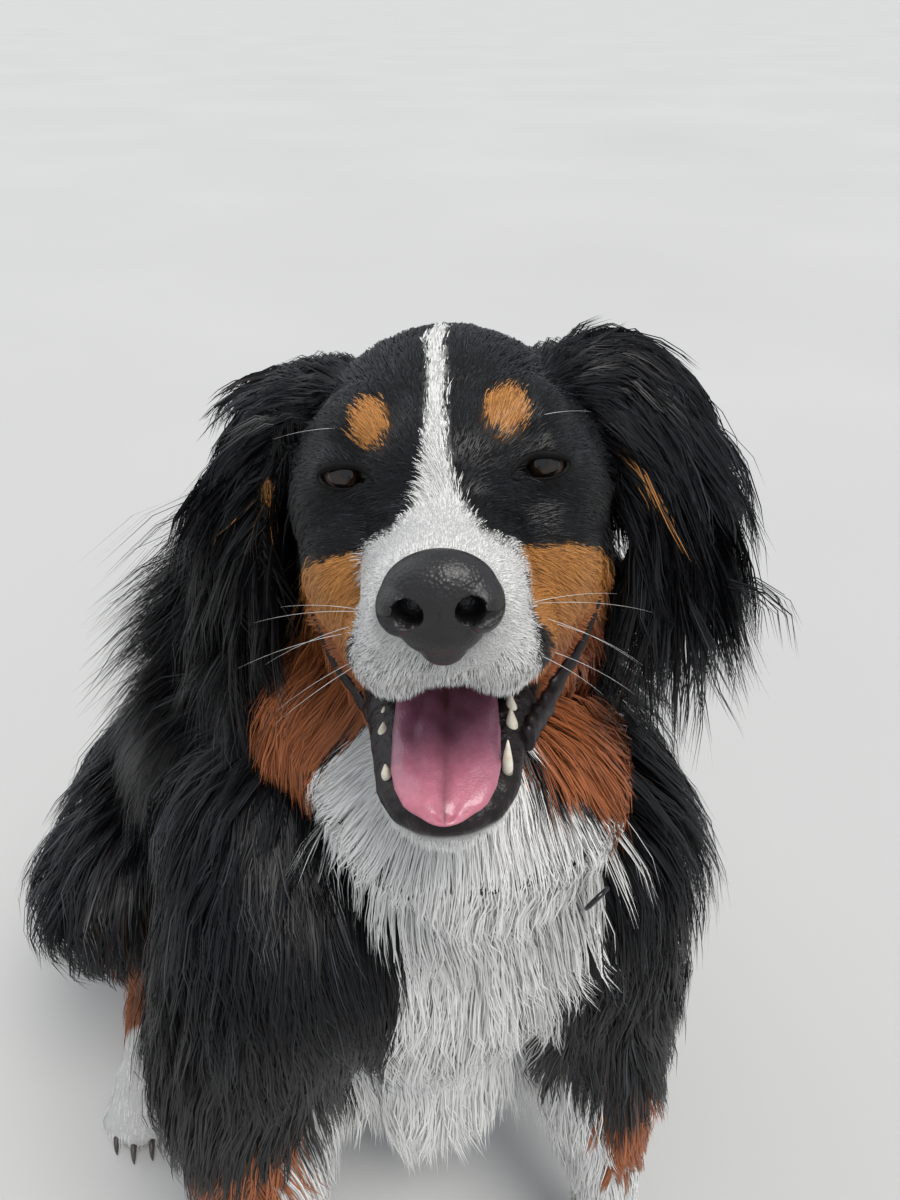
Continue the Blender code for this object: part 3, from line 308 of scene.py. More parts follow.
CHEEK_OUTER = {"right": 0.106, "left": 0.132}
EAR_INNER = 0.093
EAR_FRONT = 0.150
EAR_TAN = mm((98.7, 163.6, 26.3, 7.5), (-101, 152, 18, 4.5))
# The white of the throat and chest as rows of height, right edge and left edge
BIB = mm(
    (150, -130, 90), (200, -150, 105), (285, -150, 100), (312, -125, 75), (345, -75, 64),
    (372, -50, 64), (400, -48, 66), (455, -50, 60), (488, -46, 66), (500, -40, 74),
    (520, -47, 96), (550, -70, 112), (575, -76, 124), (620, -80, 134),
)
BIB_BACK = -0.040
ARM_TAN_TOP = {"right": 0.285, "left": 0.200}
ARM_TAN_SLOPE = 0.9
ARM_WHITE_TOP = {"right": 0.110, "left": 0.175}
LEG_TAN = mm(205, 225)
LEG_WHITE = mm(60, 175)
TAIL_WHITE = -0.020
UNDER_TAIL = at(-95, 470, 100)
UNDER_TAIL_SIZE = 0.045
OUTSIDE = -0.1

# The rust turns golden above this depth under the nose
GOLD_LOW = 0.062
GOLD_BLEND = 0.030
# The share of black hairs whose tips carry a painted glint, which stands for highlights on the coat
GLINT_SHARE = 0.11
BROWN_FROM = 0.19
# The widths over which two colours of the coat mix
HAIR_BLEND = 0.0040
SKIN_BLEND = 0.0045
# How the edges of the markings wander: length of the waves and their size, on body and face
WANDER = (0.030, 0.0035)
FACE_WANDER = (0.012, 0.0009)
# The share of speckled hairs under the nose, and of brown ones in the black
SPECKLE_SHARE = 0.22
BROWN_SHARE = 0.035
BLACK = np.array((0.0036, 0.0036, 0.0044))
BLACK_LIGHT = np.array((0.016, 0.017, 0.022))
# The painted glint at the tips of some black hairs
GLINT_TIP = np.array((0.052, 0.056, 0.066))
BROWN = np.array((0.034, 0.019, 0.013))
WHITE = np.array((0.84, 0.83, 0.81))
GREY = np.array((0.34, 0.33, 0.32))
RUST = np.array((0.38, 0.118, 0.040))
RUST_DARK = np.array((0.17, 0.048, 0.018))
GOLD = np.array((0.58, 0.255, 0.070))
GOLD_DARK = np.array((0.26, 0.090, 0.022))

# How the coat lies on the head: place, direction, length, lift at the tip and width
HEAD_GROOM = [
    (0, 26, 14, 0, 1, 0.3, 5, 0.8, 0.36), (0, 70, 22, 0, 1, 0.25, 7.5, 1.1, 0.4),
    (20, 45, 6, 0.35, 1, 0.15, 6, 0.9, 0.36), (34, 55, -12, 0.35, 1, -0.15, 6.5, 1, 0.36),
    (26, 22, -14, 1, 0.8, -0.4, 4.6, 0.9, 0.34), (30, 42, -34, 0.45, 1, -0.7, 6.5, 1.1, 0.36),
    (12, 20, -40, 0.5, 0.2, -1, 5, 0.9, 0.34), (46, 80, -36, 0.3, 1, -0.4, 8.5, 1.4, 0.42),
    (0, 102, 58, 0, 0.5, 1, 10, 1.4, 0.44), (20, 98, 42, 0.45, 0.5, 0.9, 9, 1.3, 0.42),
    (32, 100, 58, 0.3, 0.6, 1, 10, 1.8, 0.42), (60, 108, 48, 0.8, 1, 0.35, 9.5, 1.4, 0.42),
    (48, 98, 14, 0.65, 1, -0.2, 7, 1, 0.4), (46, 90, 44, 0.6, 0.8, 0.6, 6.5, 1.6, 0.38),
    (30, 84, 24, 0.7, 0.8, 0.1, 5.5, 1, 0.36), (66, 122, 8, 0.4, 1, -0.4, 13, 2, 0.5),
    (72, 145, 46, 0.3, 1, -0.1, 21, 4.6, 0.58), (110, 165, -35, -0.35, 0, -1, 70, 24, 0.9),
    (0, 160, 98, 0, 1, 0.1, 15, 2.6, 0.55), (45, 160, 88, 0.35, 1, 0.05, 22, 5, 0.62),
    (0, 235, 80, 0, 1, -0.5, 34, 11, 0.85), (55, 225, 60, 0.3, 1, -0.5, 42, 13, 0.9),
    (80, 145, -20, 0.5, 0.6, -0.8, 27, 9, 0.62), (82, 155, -60, 0.45, 0.3, -1, 40, 15, 0.72),
    (80, 175, -100, 0.35, 0.2, -1, 48, 18, 0.8), (88, 195, -130, 0.25, 0.1, -1, 48, 16, 0.85),
    (66, 133, -70, 0.85, 0.3, 0.1, 7, 1, 0.45), (55, 126, -92, 0.6, 0.5, -0.2, 7, 1, 0.45),
    (78, 165, 34, 0.7, 0.6, -0.7, 42, 16, 0.75), (62, 110, -70, 0.2, 0.6, -1, 11, 2, 0.55),
    (60, 135, -105, 0.15, 0.3, -1, 28, 6, 0.7), (20, 50, -130, 0.2, 1, -0.6, 8, 1.4, 0.45),
    (38, 100, -112, 0.25, 1, -0.8, 13, 2.6, 0.55), (0, 150, -112, 0, 0.5, -1, 30, 9, 0.8),
    (82, 190, 20, 0.5, 0.5, -1, 56, 24, 0.9), (84, 200, -40, 0.42, 0.4, -1, 68, 30, 0.95),
    (72, 172, 78, 0.9, 0.6, 0.05, 34, 11, 0.75), (74, 126, -46, 0.8, 0.5, 0.05, 8.5, 1.2, 0.48),
    (58, 104, -74, 0.6, 0.8, -0.1, 8, 1.2, 0.46),
]
# Each ear from its fold to its tip: how far the coat turns out, its length, lift and wind
EAR_GROOM = {
    "right": [(0.2, 46, 14, 0), (0.4, 78, 24, 0.1), (0.35, 96, 30, 0.22), (0.1, 100, 28, 0.12)],
    "left": [(0.2, 46, 14, 0), (0.3, 74, 22, 0.06), (0.2, 92, 28, 0.14), (0.05, 96, 26, 0.1)],
}
EAR_HAIR = 0.00095

# How the coat lies on the body: place, length, lift at the tip, width and share of wind
BODY_GROOM = [
    (50, 120, 690, 90, 34, 1.2, 0.15), (-6, 85, 735, 135, 40, 1.2, 0.8),
    (-22, 60, 690, 150, 44, 1.2, 0.85), (-20, 20, 680, 140, 44, 1.2, 0.8),
    (-40, 80, 655, 170, 48, 1.2, 0.9), (-78, 70, 610, 145, 48, 1.2, 0.65),
    (-90, 110, 560, 120, 40, 1.2, 0.3), (-70, 10, 600, 55, 20, 1, 0),
    (-75, -30, 585, 50, 16, 1, 0), (105, 30, 665, 145, 70, 1.3, 0.6),
    (125, 30, 610, 142, 62, 1.3, 0.38), (115, -45, 610, 46, 18, 1, 0),
    (145, -20, 540, 105, 38, 1.2, 0.12), (20, -80, 610, 52, 12, 0.9, 0),
    (90, -80, 600, 50, 12, 0.9, 0), (20, -120, 565, 66, 14, 1, 0),
    (30, -130, 510, 72, 12, 1, 0), (0, -125, 400, 92, 12, 1.1, 0),
    (0, -110, 320, 140, 14, 1.5, 0), (0, -70, 280, 145, 14, 1.6, 0),
    (-140, 10, 480, 92, 20, 1.2, 0.1), (145, 0, 470, 92, 24, 1.2, 0.05),
    (-185, -50, 360, 80, 18, 1.2, 0), (165, -70, 360, 80, 18, 1.2, 0),
    (-160, -140, 300, 60, 14, 1.1, 0), (120, -160, 290, 60, 14, 1.1, 0),
    (-156, -125, 200, 26, 5, 0.9, 0), (116, -155, 200, 26, 5, 0.9, 0),
    (-156, -50, 200, 58, 14, 1.1, 0), (116, -80, 200, 58, 14, 1.1, 0),
    (-160, -112, 110, 17, 3, 0.8, 0), (114, -146, 110, 17, 3, 0.8, 0),
    (-162, -170, 30, 11, 1.8, 0.7, 0), (113, -205, 30, 11, 1.8, 0.7, 0),
    (-15, 150, 560, 95, 28, 1.3, 0.1), (-150, 110, 420, 94, 22, 1.3, 0),
    (110, 110, 420, 94, 22, 1.3, 0), (-80, 270, 440, 92, 24, 1.4, 0),
    (-200, 250, 330, 86, 22, 1.4, 0), (40, 250, 330, 86, 22, 1.4, 0),
    (-92, 480, 220, 95, 26, 1.5, 0), (-250, 250, 250, 70, 20, 1.3, 0),
    (110, 250, 250, 70, 20, 1.3, 0), (-275, 190, 180, 60, 20, 1.2, 0),
    (100, 180, 190, 50, 14, 1.2, 0), (-265, 240, 110, 45, 16, 1.2, 0),
    (90, 270, 100, 40, 12, 1.2, 0), (-245, 290, 30, 22, 5, 1, 0),
    (95, 290, 30, 22, 5, 1, 0), (-262, 150, 30, 12, 1.8, 0.7, 0),
    (118, 150, 30, 12, 1.8, 0.7, 0), (-92, 560, 52, 90, 26, 1.5, 0),
    (0, 710, 40, 90, 26, 1.5, 0),
]
BIB_LINE = path((18, -122, 605), (0, -130, 425), (0, -100, 285))
WIND_RIGHT = np.array([-0.85, 0.40, 0.10])
WIND_LEFT = np.array([0.75, 0.00, -0.65])
WIND_DROOP = 0.45
WIND_STRAY = 0.22
WIND_TURN = (-0.02, 0.06)
WIND_DENSE = 2.5
RUFF_SPOT = mm(30, -130, 515)
RUFF_SIZE = 0.075
RUFF_SWEEP = np.array([0.75, 0.0, -0.25])
SAG = 0.35
# Where the skin faces down this far, the coat hangs straight
HANG_FROM = 0.25
HANG_FADE = 0.35
HANG_TOP = 0.345
HANG_DENSE = 7.0
HANG_FACING = np.array((-0.25, -0.85, 0.45))
# A hair whose skin turns away this far goes on past the rim in the air
RIM_TURN = 0.30
DROOP = 0.16
GUIDE_POINTS = 6
LIFT_BEND = 0.56
FLOOR_CLEAR = 0.0015

# Regions of the coat: number of hairs, points along each, hairs to a clump, and how far
# the hairs of a clump and the clumps of a lock draw together at their tips
REGIONS = {
    "muzzle": (34000, 3, 5, 0.10, 0.00),
    "face": (46000, 3, 6, 0.12, 0.00),
    "cheeks": (32000, 4, 8, 0.22, 0.06),
    "ears": (23500, 5, 12, 0.38, 0.26),
    "mane": (18000, 5, 12, 0.34, 0.30),
    "neck": (20000, 5, 12, 0.36, 0.26),
    "chest": (27500, 5, 10, 0.22, 0.14),
    "back": (18000, 5, 12, 0.40, 0.32),
    "rump": (11500, 5, 12, 0.44, 0.34),
    "arms": (19000, 5, 12, 0.38, 0.30),
    "legs": (13000, 4, 11, 0.42, 0.26),
    "paws": (9000, 3, 6, 0.16, 0.00),
    "tail": (6500, 5, 11, 0.50, 0.32),
}
LOCK_SIZE = 9
TUFT_PATCH = 0.003
SKIN_SHADE = 0.62
STRANDS = (3.2, 57.0, 1.1)
# How far ribbons roll about their length, and their width at the root and towards the tip
ROLL = 0.40
TAPER_ROOT = 0.75
TAPER = 0.55
# Ranges from which each clump or hair draws its length, rise, pull to its clump and width
CLUMP_LENGTH = (0.80, 1.18)
CLUMP_RISE = (0.70, 1.12)
HAIR_LENGTH = (0.72, 1.12)
HAIR_PULL = (0.55, 1.25)
HAIR_WIDTH = (0.7, 1.25)
# Waves, stray hairs and crimp as shares of the length
WAVE = 0.075
STRAY = 0.022
SPRING = 0.005

# Plain finishes: dark and light colour, scale of the grain, range of roughness, relief
PLAIN = {
    "floor": ((0.46, 0.455, 0.445), (0.49, 0.485, 0.475), 0.6, (0.75, 0.85), 0.0001),
    "lips": ((0.003, 0.0025, 0.003), (0.016, 0.009, 0.010), 260, (0.30, 0.52), 0.0012),
    "rims": ((0.002, 0.002, 0.002), (0.006, 0.005, 0.005), 500, (0.55, 0.75), 0.0004),
    "ivory": ((0.62, 0.55, 0.42), (0.82, 0.78, 0.68), 220, (0.16, 0.30), 0.0002),
    "horn": ((0.020, 0.016, 0.014), (0.085, 0.070, 0.060), 120, (0.28, 0.45), 0.0002),
    "steel": ((0.030, 0.030, 0.033), (0.060, 0.060, 0.066), 400, (0.12, 0.26), 0.0001),
    "bristle": ((0.45, 0.44, 0.42), (0.80, 0.79, 0.77), 90, (0.30, 0.42), 0.00005),
}

FLESH = [
    "chest", "ear_left", "ear_right", "forearm_left", "forearm_right", "front_paw_left",
    "front_paw_right", "head", "hind_foot_left", "hind_foot_right", "loin", "lower_jaw",
    "lower_leg_left", "lower_leg_right", "neck", "rump", "tail", "thigh_left", "thigh_right",
    "upper_arm_left", "upper_arm_right",
]


def sided(spot, s):
    """A place on one side of the head; s is -1 for the dog's right and 1 for its left."""
    x, y, z = spot
    return Vector((s * x, y, z))


HEAD_TURN = (
    Matrix.Rotation(HEAD_YAW, 3, "Z")
    @ Matrix.Rotation(HEAD_PITCH, 3, "X")
    @ Matrix.Rotation(HEAD_ROLL, 3, "Y")
)
HEAD_FRAME = Matrix.Translation(NOSE) @ HEAD_TURN.to_4x4()
HEAD_AXES = np.array(HEAD_TURN)
COLLAR_TURN = Vector((0, 0, 1)).rotation_difference(COLLAR_TILT.normalized()).to_matrix()
COLLAR_AXES = np.array(COLLAR_TURN)


def frame_shift():
    """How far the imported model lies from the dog's own frame, from one of its eyes."""
    low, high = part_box("eye_right")
    return (low + high) / 2 - HEAD_FRAME @ sided(EYE, -1)


SHIFT = frame_shift()


def to_head(points):
    """Carries an array of points from the dog's frame to the head's."""
    return (points - np.array(NOSE)) @ HEAD_AXES


def to_dog(points):
    """Carries an array of points from the head's frame to the dog's."""
    return points @ HEAD_AXES.T + np.array(NOSE)


# Plain shapes


def linked(name, data):
    """A new object in the scene."""
    item = bpy.data.objects.new(name, data)
    bpy.context.scene.collection.objects.link(item)
    return item


def mesh_object(name, bm):
    """A new object from a bmesh, which is used up."""
    mesh = bpy.data.meshes.new(name)
    bmesh.ops.recalc_face_normals(bm, faces=bm.faces)
    bm.to_mesh(mesh)
    bm.free()
    return linked(name, mesh)


def ellipsoid(centre, radii, turn=(0, 0, 0), segments=32, rings=20):
    """A closed ellipsoid; turn is an Euler in radians."""
    bm = bmesh.new()
    bmesh.ops.create_uvsphere(bm, u_segments=segments, v_segments=rings, radius=1.0)
    spin = Euler(turn).to_matrix().to_4x4()
    place = Matrix.Translation(centre) @ spin @ Matrix.Diagonal((*radii, 1.0))
    bmesh.ops.transform(bm, matrix=place, verts=bm.verts)
    return mesh_object("form", bm)


def block(low, high):
    """A closed box between two corners."""
    bm = bmesh.new()
    bmesh.ops.create_cube(bm, size=1.0)
    low, high = Vector(low), Vector(high)
    place = Matrix.Translation((low + high) / 2) @ Matrix.Diagonal((*(high - low), 1.0))
    bmesh.ops.transform(bm, matrix=place, verts=bm.verts)
    return mesh_object("block", bm)


def lofted(rings, closed=False):
    """A surface over rings of points, with its ends shut unless it runs round."""
    bm = bmesh.new()
    rings = [[bm.verts.new(spot) for spot in ring] for ring in rings]
    pairs = list(zip(rings, rings[1:]))
    if closed:
        pairs.append((rings[-1], rings[0]))
    for a, b in pairs:
        for k in range(len(a)):
            n = (k + 1) % len(a)
            bm.faces.new((a[k], a[n], b[n], b[k]))
    if not closed:
        bm.faces.new(rings[0][::-1])
        bm.faces.new(rings[-1])
    return mesh_object("form", bm)


def across(direction, up=Vector((0, 0, 1))):
    """Two unit vectors square to a direction: to the side, and up from it."""
    side = direction.cross(up)
    if side.length < 1e-4:
        side = direction.cross(Vector((0, 1, 0)))
    side.normalize()
    return side, side.cross(direction).normalized()


def tube(points, sizes, sides=18, up=Vector((0, 0, 1)), closed=False):
    """A tube along points, each with a half width and a half height."""
    last = len(points) - 1
    angles = [2 * pi * k / sides for k in range(sides)]
    rings = []
    for i, (point, (wide, high)) in enumerate(zip(points, sizes)):
        after = points[(i + 1) % len(points)] if closed else points[min(i + 1, last)]
        before = points[i - 1] if closed else points[max(i - 1, 0)]
        side, rise = across((after - before).normalized(), up)
        rings.append([point + side * (wide * cos(a)) + rise * (high * sin(a)) for a in angles])
    return lofted(rings, closed)


def limb(points, radii):
    """Balls at the joints and a tapered tube between each two."""
    forms = [ellipsoid(p, (r, r, r)) for p, r in zip(points, radii)]
    for a, b, start, end in zip(points, points[1:], radii, radii[1:]):
        forms.append(tube([a, b], [(start, start), (end, end)]))
    return forms


def applied(item):
    """Replaces an object's mesh by what its modifiers make of it."""
    graph = bpy.context.evaluated_depsgraph_get()
    mesh = bpy.data.meshes.new_from_object(item.evaluated_get(graph))
    item.modifiers.clear()
    old = item.data
    item.data = mesh
    bpy.data.meshes.remove(old)
    return item


def joined(forms):
    """One object that holds all forms, overlapping as they are."""
    bm = bmesh.new()
    for form in forms:
        bm.from_mesh(form.data)
        bpy.data.objects.remove(form, do_unlink=True)
    return mesh_object("joined", bm)


def smoothed(item, iterations):
    smooth = item.modifiers.new("Smooth", "SMOOTH")
    smooth.iterations = iterations
    smooth.factor = 0.5
    return applied(item)


def blended(forms, voxel, smoothing):
    """Forms melted into one closed skin."""
    item = joined(forms)
    remesh = item.modifiers.new("Remesh", "REMESH")
    remesh.mode = "VOXEL"
    remesh.voxel_size = voxel
    return smoothed(item, smoothing)


def boolean(item, tool, operation):
    """Cuts or joins an object with one other object, which is then removed."""
    step = item.modifiers.new("Boolean", "BOOLEAN")
    step.object = tool
    step.operation = operation
    step.solver = "MANIFOLD"
    applied(item)
    bpy.data.objects.remove(tool, do_unlink=True)
    return item


def cut(item, *tools):
    for tool in tools:
        boolean(item, tool, "DIFFERENCE")
    return item


def vertex_array(mesh):
    spots = np.empty(len(mesh.vertices) * 3)
    mesh.vertices.foreach_get("co", spots)
    return spots.reshape(-1, 3)


def normal_array(mesh):
    ways = np.empty(len(mesh.vertices) * 3, dtype=np.float32)
    mesh.vertex_normals.foreach_get("vector", ways)
    return ways.reshape(-1, 3).astype(float)


def moved(item, spots):
    """The same object with its vertices at other places."""
    item.data.vertices.foreach_set("co", spots.ravel())
    return item


# Skin


def paw_ahead(kind, side):
    """The level direction in which a paw points."""
    before, end = PAWS[kind]["joints"][side][-2:]
    return Vector((end.x - before.x, -1.0 if kind == "fore" else end.y - before.y, 0)).normalized()


def toe_spots(kind, side):
    """The centres of four toes side by side, the middle two ahead."""
    sizes = PAWS[kind]
    ahead = paw_ahead(kind, side)
    beside = ahead.cross(Vector((0, 0, 1)))
    end = sizes["joints"][side][-1]
    middle = Vector((end.x, end.y, TOE_HEIGHT)) + ahead * (sizes["reach"] + TOE_REACH)
    return [
        middle + beside * (off * sizes["toe"]) + ahead * (TOE_LEAD if abs(off) < 1 else 0)
        for off in (-1.5, -0.5, 0.5, 1.5)
    ]


def paw(kind, side):
    sizes = PAWS[kind]
    ahead = paw_ahead(kind, side)
    turn = (0, 0, -np.arctan2(ahead.x, ahead.y))
    end = sizes["joints"][side][-1]
    palm = Vector((end.x, end.y, PALM_HEIGHT)) + ahead * sizes["reach"]
    toes = [ellipsoid(spot, sizes["toe"] * TOE_SHAPE, turn) for spot in toe_spots(kind, side)]
    return joined([ellipsoid(palm, sizes["palm"], turn)] + toes)


def body_forms():
    """The torso, neck, tail and limbs as rounded forms, with a share of the coat's depth."""

    def form(centre, radii, coat):
        return ellipsoid(centre, radii + BODY_SHARE * coat)

    back = BACK_RADII + BODY_SHARE * BACK_COAT
    forms = [form(*row) for row in TORSO] + [tube([RIBS, LOIN, RUMP], zip(back, back))]
    for side in SIDES:
        forms.append(form(SHOULDER[side], SHOULDER_SIZE, SHOULDER_COAT))
        forms += limb(ARM[side], ARM_RADII + BODY_SHARE * ARM_COAT) + [paw("fore", side)]
        forms += limb(LEG[side], LEG_RADII + BODY_SHARE * LEG_COAT) + [paw("hind", side)]
    return forms + limb(TAIL, TAIL_RADII + BODY_SHARE * TAIL_COAT)


def profile(rows, grow=0.0, sides=28, shift=0.0):
    """A tube through rows of y, z, half width and half height; shift moves it to one side."""
    return tube([Vector((shift, y, z)) for y, z in rows[:, :2]], rows[:, 2:] + grow, sides)


def head_form(row, s=1, segments=32, rings=20):
    """An ellipsoid from the row of a table, on one side of the head."""
    return ellipsoid(sided(row[:3], s), row[3:], (0, 0, 0), segments, rings)


def along(joints, t):
    """A point on a path of vectors, t from 0 to 1 by its joints."""
    span = t * (len(joints) - 1)
    i = min(int(span), len(joints) - 2)
    return joints[i].lerp(joints[i + 1], span - i)


def ear_flap(side):
    """A thin cupped blade with its hollow to the head."""
    joints = [sided(spot, SIDES[side]) for spot in EAR_PATH[side]]
    facing = EAR_FACING[side].normalized()
    columns = np.linspace(-1, 1, EAR_COLUMNS + 1)
    rings = []
    for t in np.linspace(0, 1, EAR_STEPS):
        ahead = along(joints, min(t + EAR_EASE, 1)) - along(joints, max(t - EAR_EASE, 0))
        beside, rise = across(ahead.normalized(), facing)
        wide = np.interp(t * (len(EAR_WIDTHS) - 1), range(len(EAR_WIDTHS)), EAR_WIDTHS)
        ring = []
        for layer in (1, -1):
            for u in columns[::layer]:
                arch = EAR_CUP * wide * (1 - u * u)
                half = 0.5 * EAR_THICK * (1 - 0.6 * u * u)
                ring.append(along(joints, t) + beside * (u * wide) + rise * (arch + layer * half))
        rings.append(ring)
    return lofted(rings)


def head_forms():
    """Skull, muzzle, cheeks, lips, ears and lower jaw as rounded forms."""
    forms = [head_form(row) for row in SKULL] + [profile(MUZZLE), profile(JAW, shift=JAW_SHIFT)]
    for side, s in SIDES.items():
        forms += [head_form(row, s) for row in FACE_SIDES]
        inward = Vector((-s * LIP_INWARD[0], LIP_INWARD[1], 0))
        corner = [Vector(row[:3]) + inward for row in CREASE[side]]
        forms += limb(corner, [LIP_ROOT] * len(corner)) + [ear_flap(side)]
    return forms


def lid_spot(s):
    """The middle of the opening between the lids of one eye."""
    return Vector((s * (EYE.x + LID_OUT), EYE.y - LID_AHEAD, EYE.z))


def sunk_head(item):
    """Draws the skin of the head in by part of its coat's depth, but not at the eyes."""
    spots = vertex_array(item.data)
    gaps = [np.linalg.norm(spots - np.array(sided(EYE, s)), axis=1) for s in SIDES.values()]
    away = np.clip((np.min(gaps, axis=0) - EYE_KEEP) / EYE_FADE, 0, 1)
    depth = np.minimum(groom(to_dog(spots))["lift"], SINK_MOST) * HEAD_SINK * away
    return moved(item, spots - normal_array(item.data) * depth[:, None])


def head_skin():
    item = sunk_head(blended(head_forms(), HEAD_VOXEL, 16))
    for s in SIDES.values():
        lids = ellipsoid(lid_spot(s), LID_SIZE, (0, 0, s * EYE_TURN), 48, 32)
        cut(item, lids, ellipsoid(sided(EYE, s), [EYE_RADIUS + 0.0004] * 3, (0, 0, 0), 48, 32))
    nose = block((-0.1, -0.1, -0.08), (0.1, NOSE_BACK - 0.001, 0.1))
    cut(item, nose, profile(PALATE), profile(TONGUE, 0.0006, 32, JAW_SHIFT))
    item.data.transform(HEAD_FRAME)
    return item


def smooth_object(item, name):
    item.name = name
    item.data.name = name
    item.data.shade_smooth()
    return item


def make_skin():
    """Body and head as one closed surface, which stands on the floor."""
    body = cut(blended(body_forms(), BODY_VOXEL, 10), block((-2, -2, -1), (2, 2, 0)))
    return smooth_object(boolean(body, head_skin(), "UNION"), "skin")


def unwrap(item):
    """An unwrap of the skin's own shape, which the coat's patches share."""
    bpy.context.view_layer.objects.active = item
    item.select_set(True)
    while item.data.uv_layers:
        item.data.uv_layers.remove(item.data.uv_layers[0])
    item.data.uv_layers.new(name="OFBake")
    bpy.ops.object.mode_set(mode="EDIT")
    bpy.ops.mesh.select_all(action="SELECT")
    bpy.ops.uv.smart_project(angle_limit=radians(66), island_margin=0.002)
    bpy.ops.object.mode_set(mode="OBJECT")
    item.select_set(False)


# Markings


def interp(rows, values, column=1):
    """Reads one column of rows at given values of their first."""
    return np.interp(values, rows[:, 0], rows[:, column])


def by_side(x, table):
    """For each x the entry of its side of the dog."""
    return np.where(x > 0, table["left"], table["right"])


def head_white(h):
    """How far inside the white of the head a point lies; negative outside."""
    x, y, z = h.T
    band = interp(BLAZE, z) - np.abs(x - BLAZE_MIDDLE)
    back = np.where(z < 0.012, interp(MUZZLE_BACK, z), BLAZE_BACK)
    face = np.where(z > -0.075, np.minimum(band, back - y), OUTSIDE)
    chin = np.min([CHIN_TOP - z, CHIN_HALF - np.abs(x - JAW_SHIFT), CHIN_BACK - y], axis=0)
    return np.maximum(face, chin)


def on_ear(h):
    """Whether points lie on the flaps of the ears."""
    return (np.abs(h[:, 0]) > EAR_INNER) & (h[:, 1] > EAR_FRONT) & (h[:, 2] > -0.10)


def head_rust(h):
    """How far inside the rust of the brows, cheeks and ears a point lies."""
    x, y, z = h.T
    parts = []
    for middle, height, wide, high in BROW_SPOTS:
        reach = np.sqrt(((x - middle) / wide) ** 2 + ((z - height) / high) ** 2)
        parts.append(np.where(y < 0.125, (1 - reach) * wide, OUTSIDE))
    low = np.where(x > 0, interp(CHEEK_LOW["left"], x), interp(CHEEK_LOW["right"], -x))
    edges = [
        interp(CHEEK_TOP, y) - z, interp(CHEEK_BACK, z) - y, z - low, y - 0.05,
        np.abs(x) - by_side(x, CHEEK_INNER) * (z < -0.06), by_side(x, CHEEK_OUTER) - np.abs(x),
    ]
    parts.append(np.where(on_ear(h), OUTSIDE, np.min(edges, axis=0)))
    parts += [size - np.linalg.norm(h - spot, axis=1) for *spot, size in EAR_TAN]
    return np.maximum(np.max(parts, axis=0), OUTSIDE)


def body_white(p):
    x, y, z = p.T
    bib = np.minimum(x - interp(BIB, z), interp(BIB, z, 2) - x)
    bib = np.minimum(bib, np.where(z > 0.49, BIB_BACK, 0.02) - y)
    bib = np.where((z > 0.16) & (z < 0.625), bib, OUTSIDE)
    fore = np.where(y < 0.05, by_side(x, ARM_WHITE_TOP) - z, OUTSIDE)
    hind = np.where(y > 0.05, np.minimum(LEG_WHITE[0] - z, LEG_WHITE[1] - y), OUTSIDE)
    tip = np.where(y > 0.62, x - TAIL_WHITE, OUTSIDE)
    return np.max([bib, fore, hind, tip], axis=0)


def body_rust(p):
    x, y, z = p.T
    parts = [np.full(len(p), OUTSIDE)]
    for side, s in SIDES.items():
        slope = np.clip(-0.06 - y, -0.08, 0.10) * ARM_TAN_SLOPE
        arm = np.minimum(ARM_TAN_TOP[side] + slope - z, s * x - 0.065)
        parts.append(np.where((y < 0.06) & (z < 0.42), arm, OUTSIDE))
        shin = np.minimum(LEG_TAN[0] - z, LEG_TAN[1] - y + np.clip(0.14 - z, 0, 0.12))
        near = (s * (x - LEG[side][0].x) > -0.02) & (y > 0.08) & (y < 0.42)
        parts.append(np.where(near, shin, OUTSIDE))
    parts.append(UNDER_TAIL_SIZE - np.linalg.norm(p - np.array(UNDER_TAIL), axis=1))
    return np.max(parts, axis=0)


def ripple(p, scale, seed):
    """A smooth wave field in three dimensions, from -1 to 1."""
    draw = np.random.default_rng(seed)
    total = np.zeros(len(p))
    for k in range(5):
        way = draw.normal(size=3)
        way *= 2 * pi * (1 + 0.5 * k) / (scale * np.linalg.norm(way))
        total += np.sin(p @ way + draw.uniform(0, 2 * pi)) / (1 + 0.5 * k)
    return total / 2.2


def markings(p, blend):
    """The shares of white and rust at points of the dog, with edges that wander a little."""
    h = to_head(p)
    wander = ripple(p, WANDER[0], SEED) * WANDER[1]
    fine = ripple(p, FACE_WANDER[0], SEED + 1) * FACE_WANDER[1]
    on_head = (h[:, 2] > -0.200) & (h[:, 1] < 0.21) & (p[:, 2] > 0.53)
    shift = np.where(h[:, 1] < 0.13, fine, wander)
    white = np.where(on_head & (h[:, 2] > -0.15), head_white(h), OUTSIDE)
    cheek = np.where(on_head, head_rust(h), OUTSIDE)
    throat = np.where((cheek > -0.004) | (on_head & (h[:, 2] > -0.10)), OUTSIDE, body_white(p))
    pale = np.clip((np.maximum(white, throat) + shift) / blend + 0.5, 0, 1)
    ragged = np.where(h[:, 2] < 0, 3.0, 1.0)
    warm = np.clip((np.maximum(cheek, body_rust(p)) + shift * ragged) / blend + 0.5, 0, 1)
    return pale, warm * (1 - pale)


def goldness(h):
    """How golden the rust is at points of the head."""
    return np.clip((h[:, 2] + GOLD_LOW) / GOLD_BLEND, 0, 1)


def mixed(a, b, share):
    """Colours a and b mixed row by row; share is 0 for a and 1 for b."""
    return a + (b - a) * np.reshape(share, (-1, 1))


def chosen(where, a, b):
    """Colour a in the rows where a test holds, and b elsewhere."""
    return np.where(where[:, None], a, b)


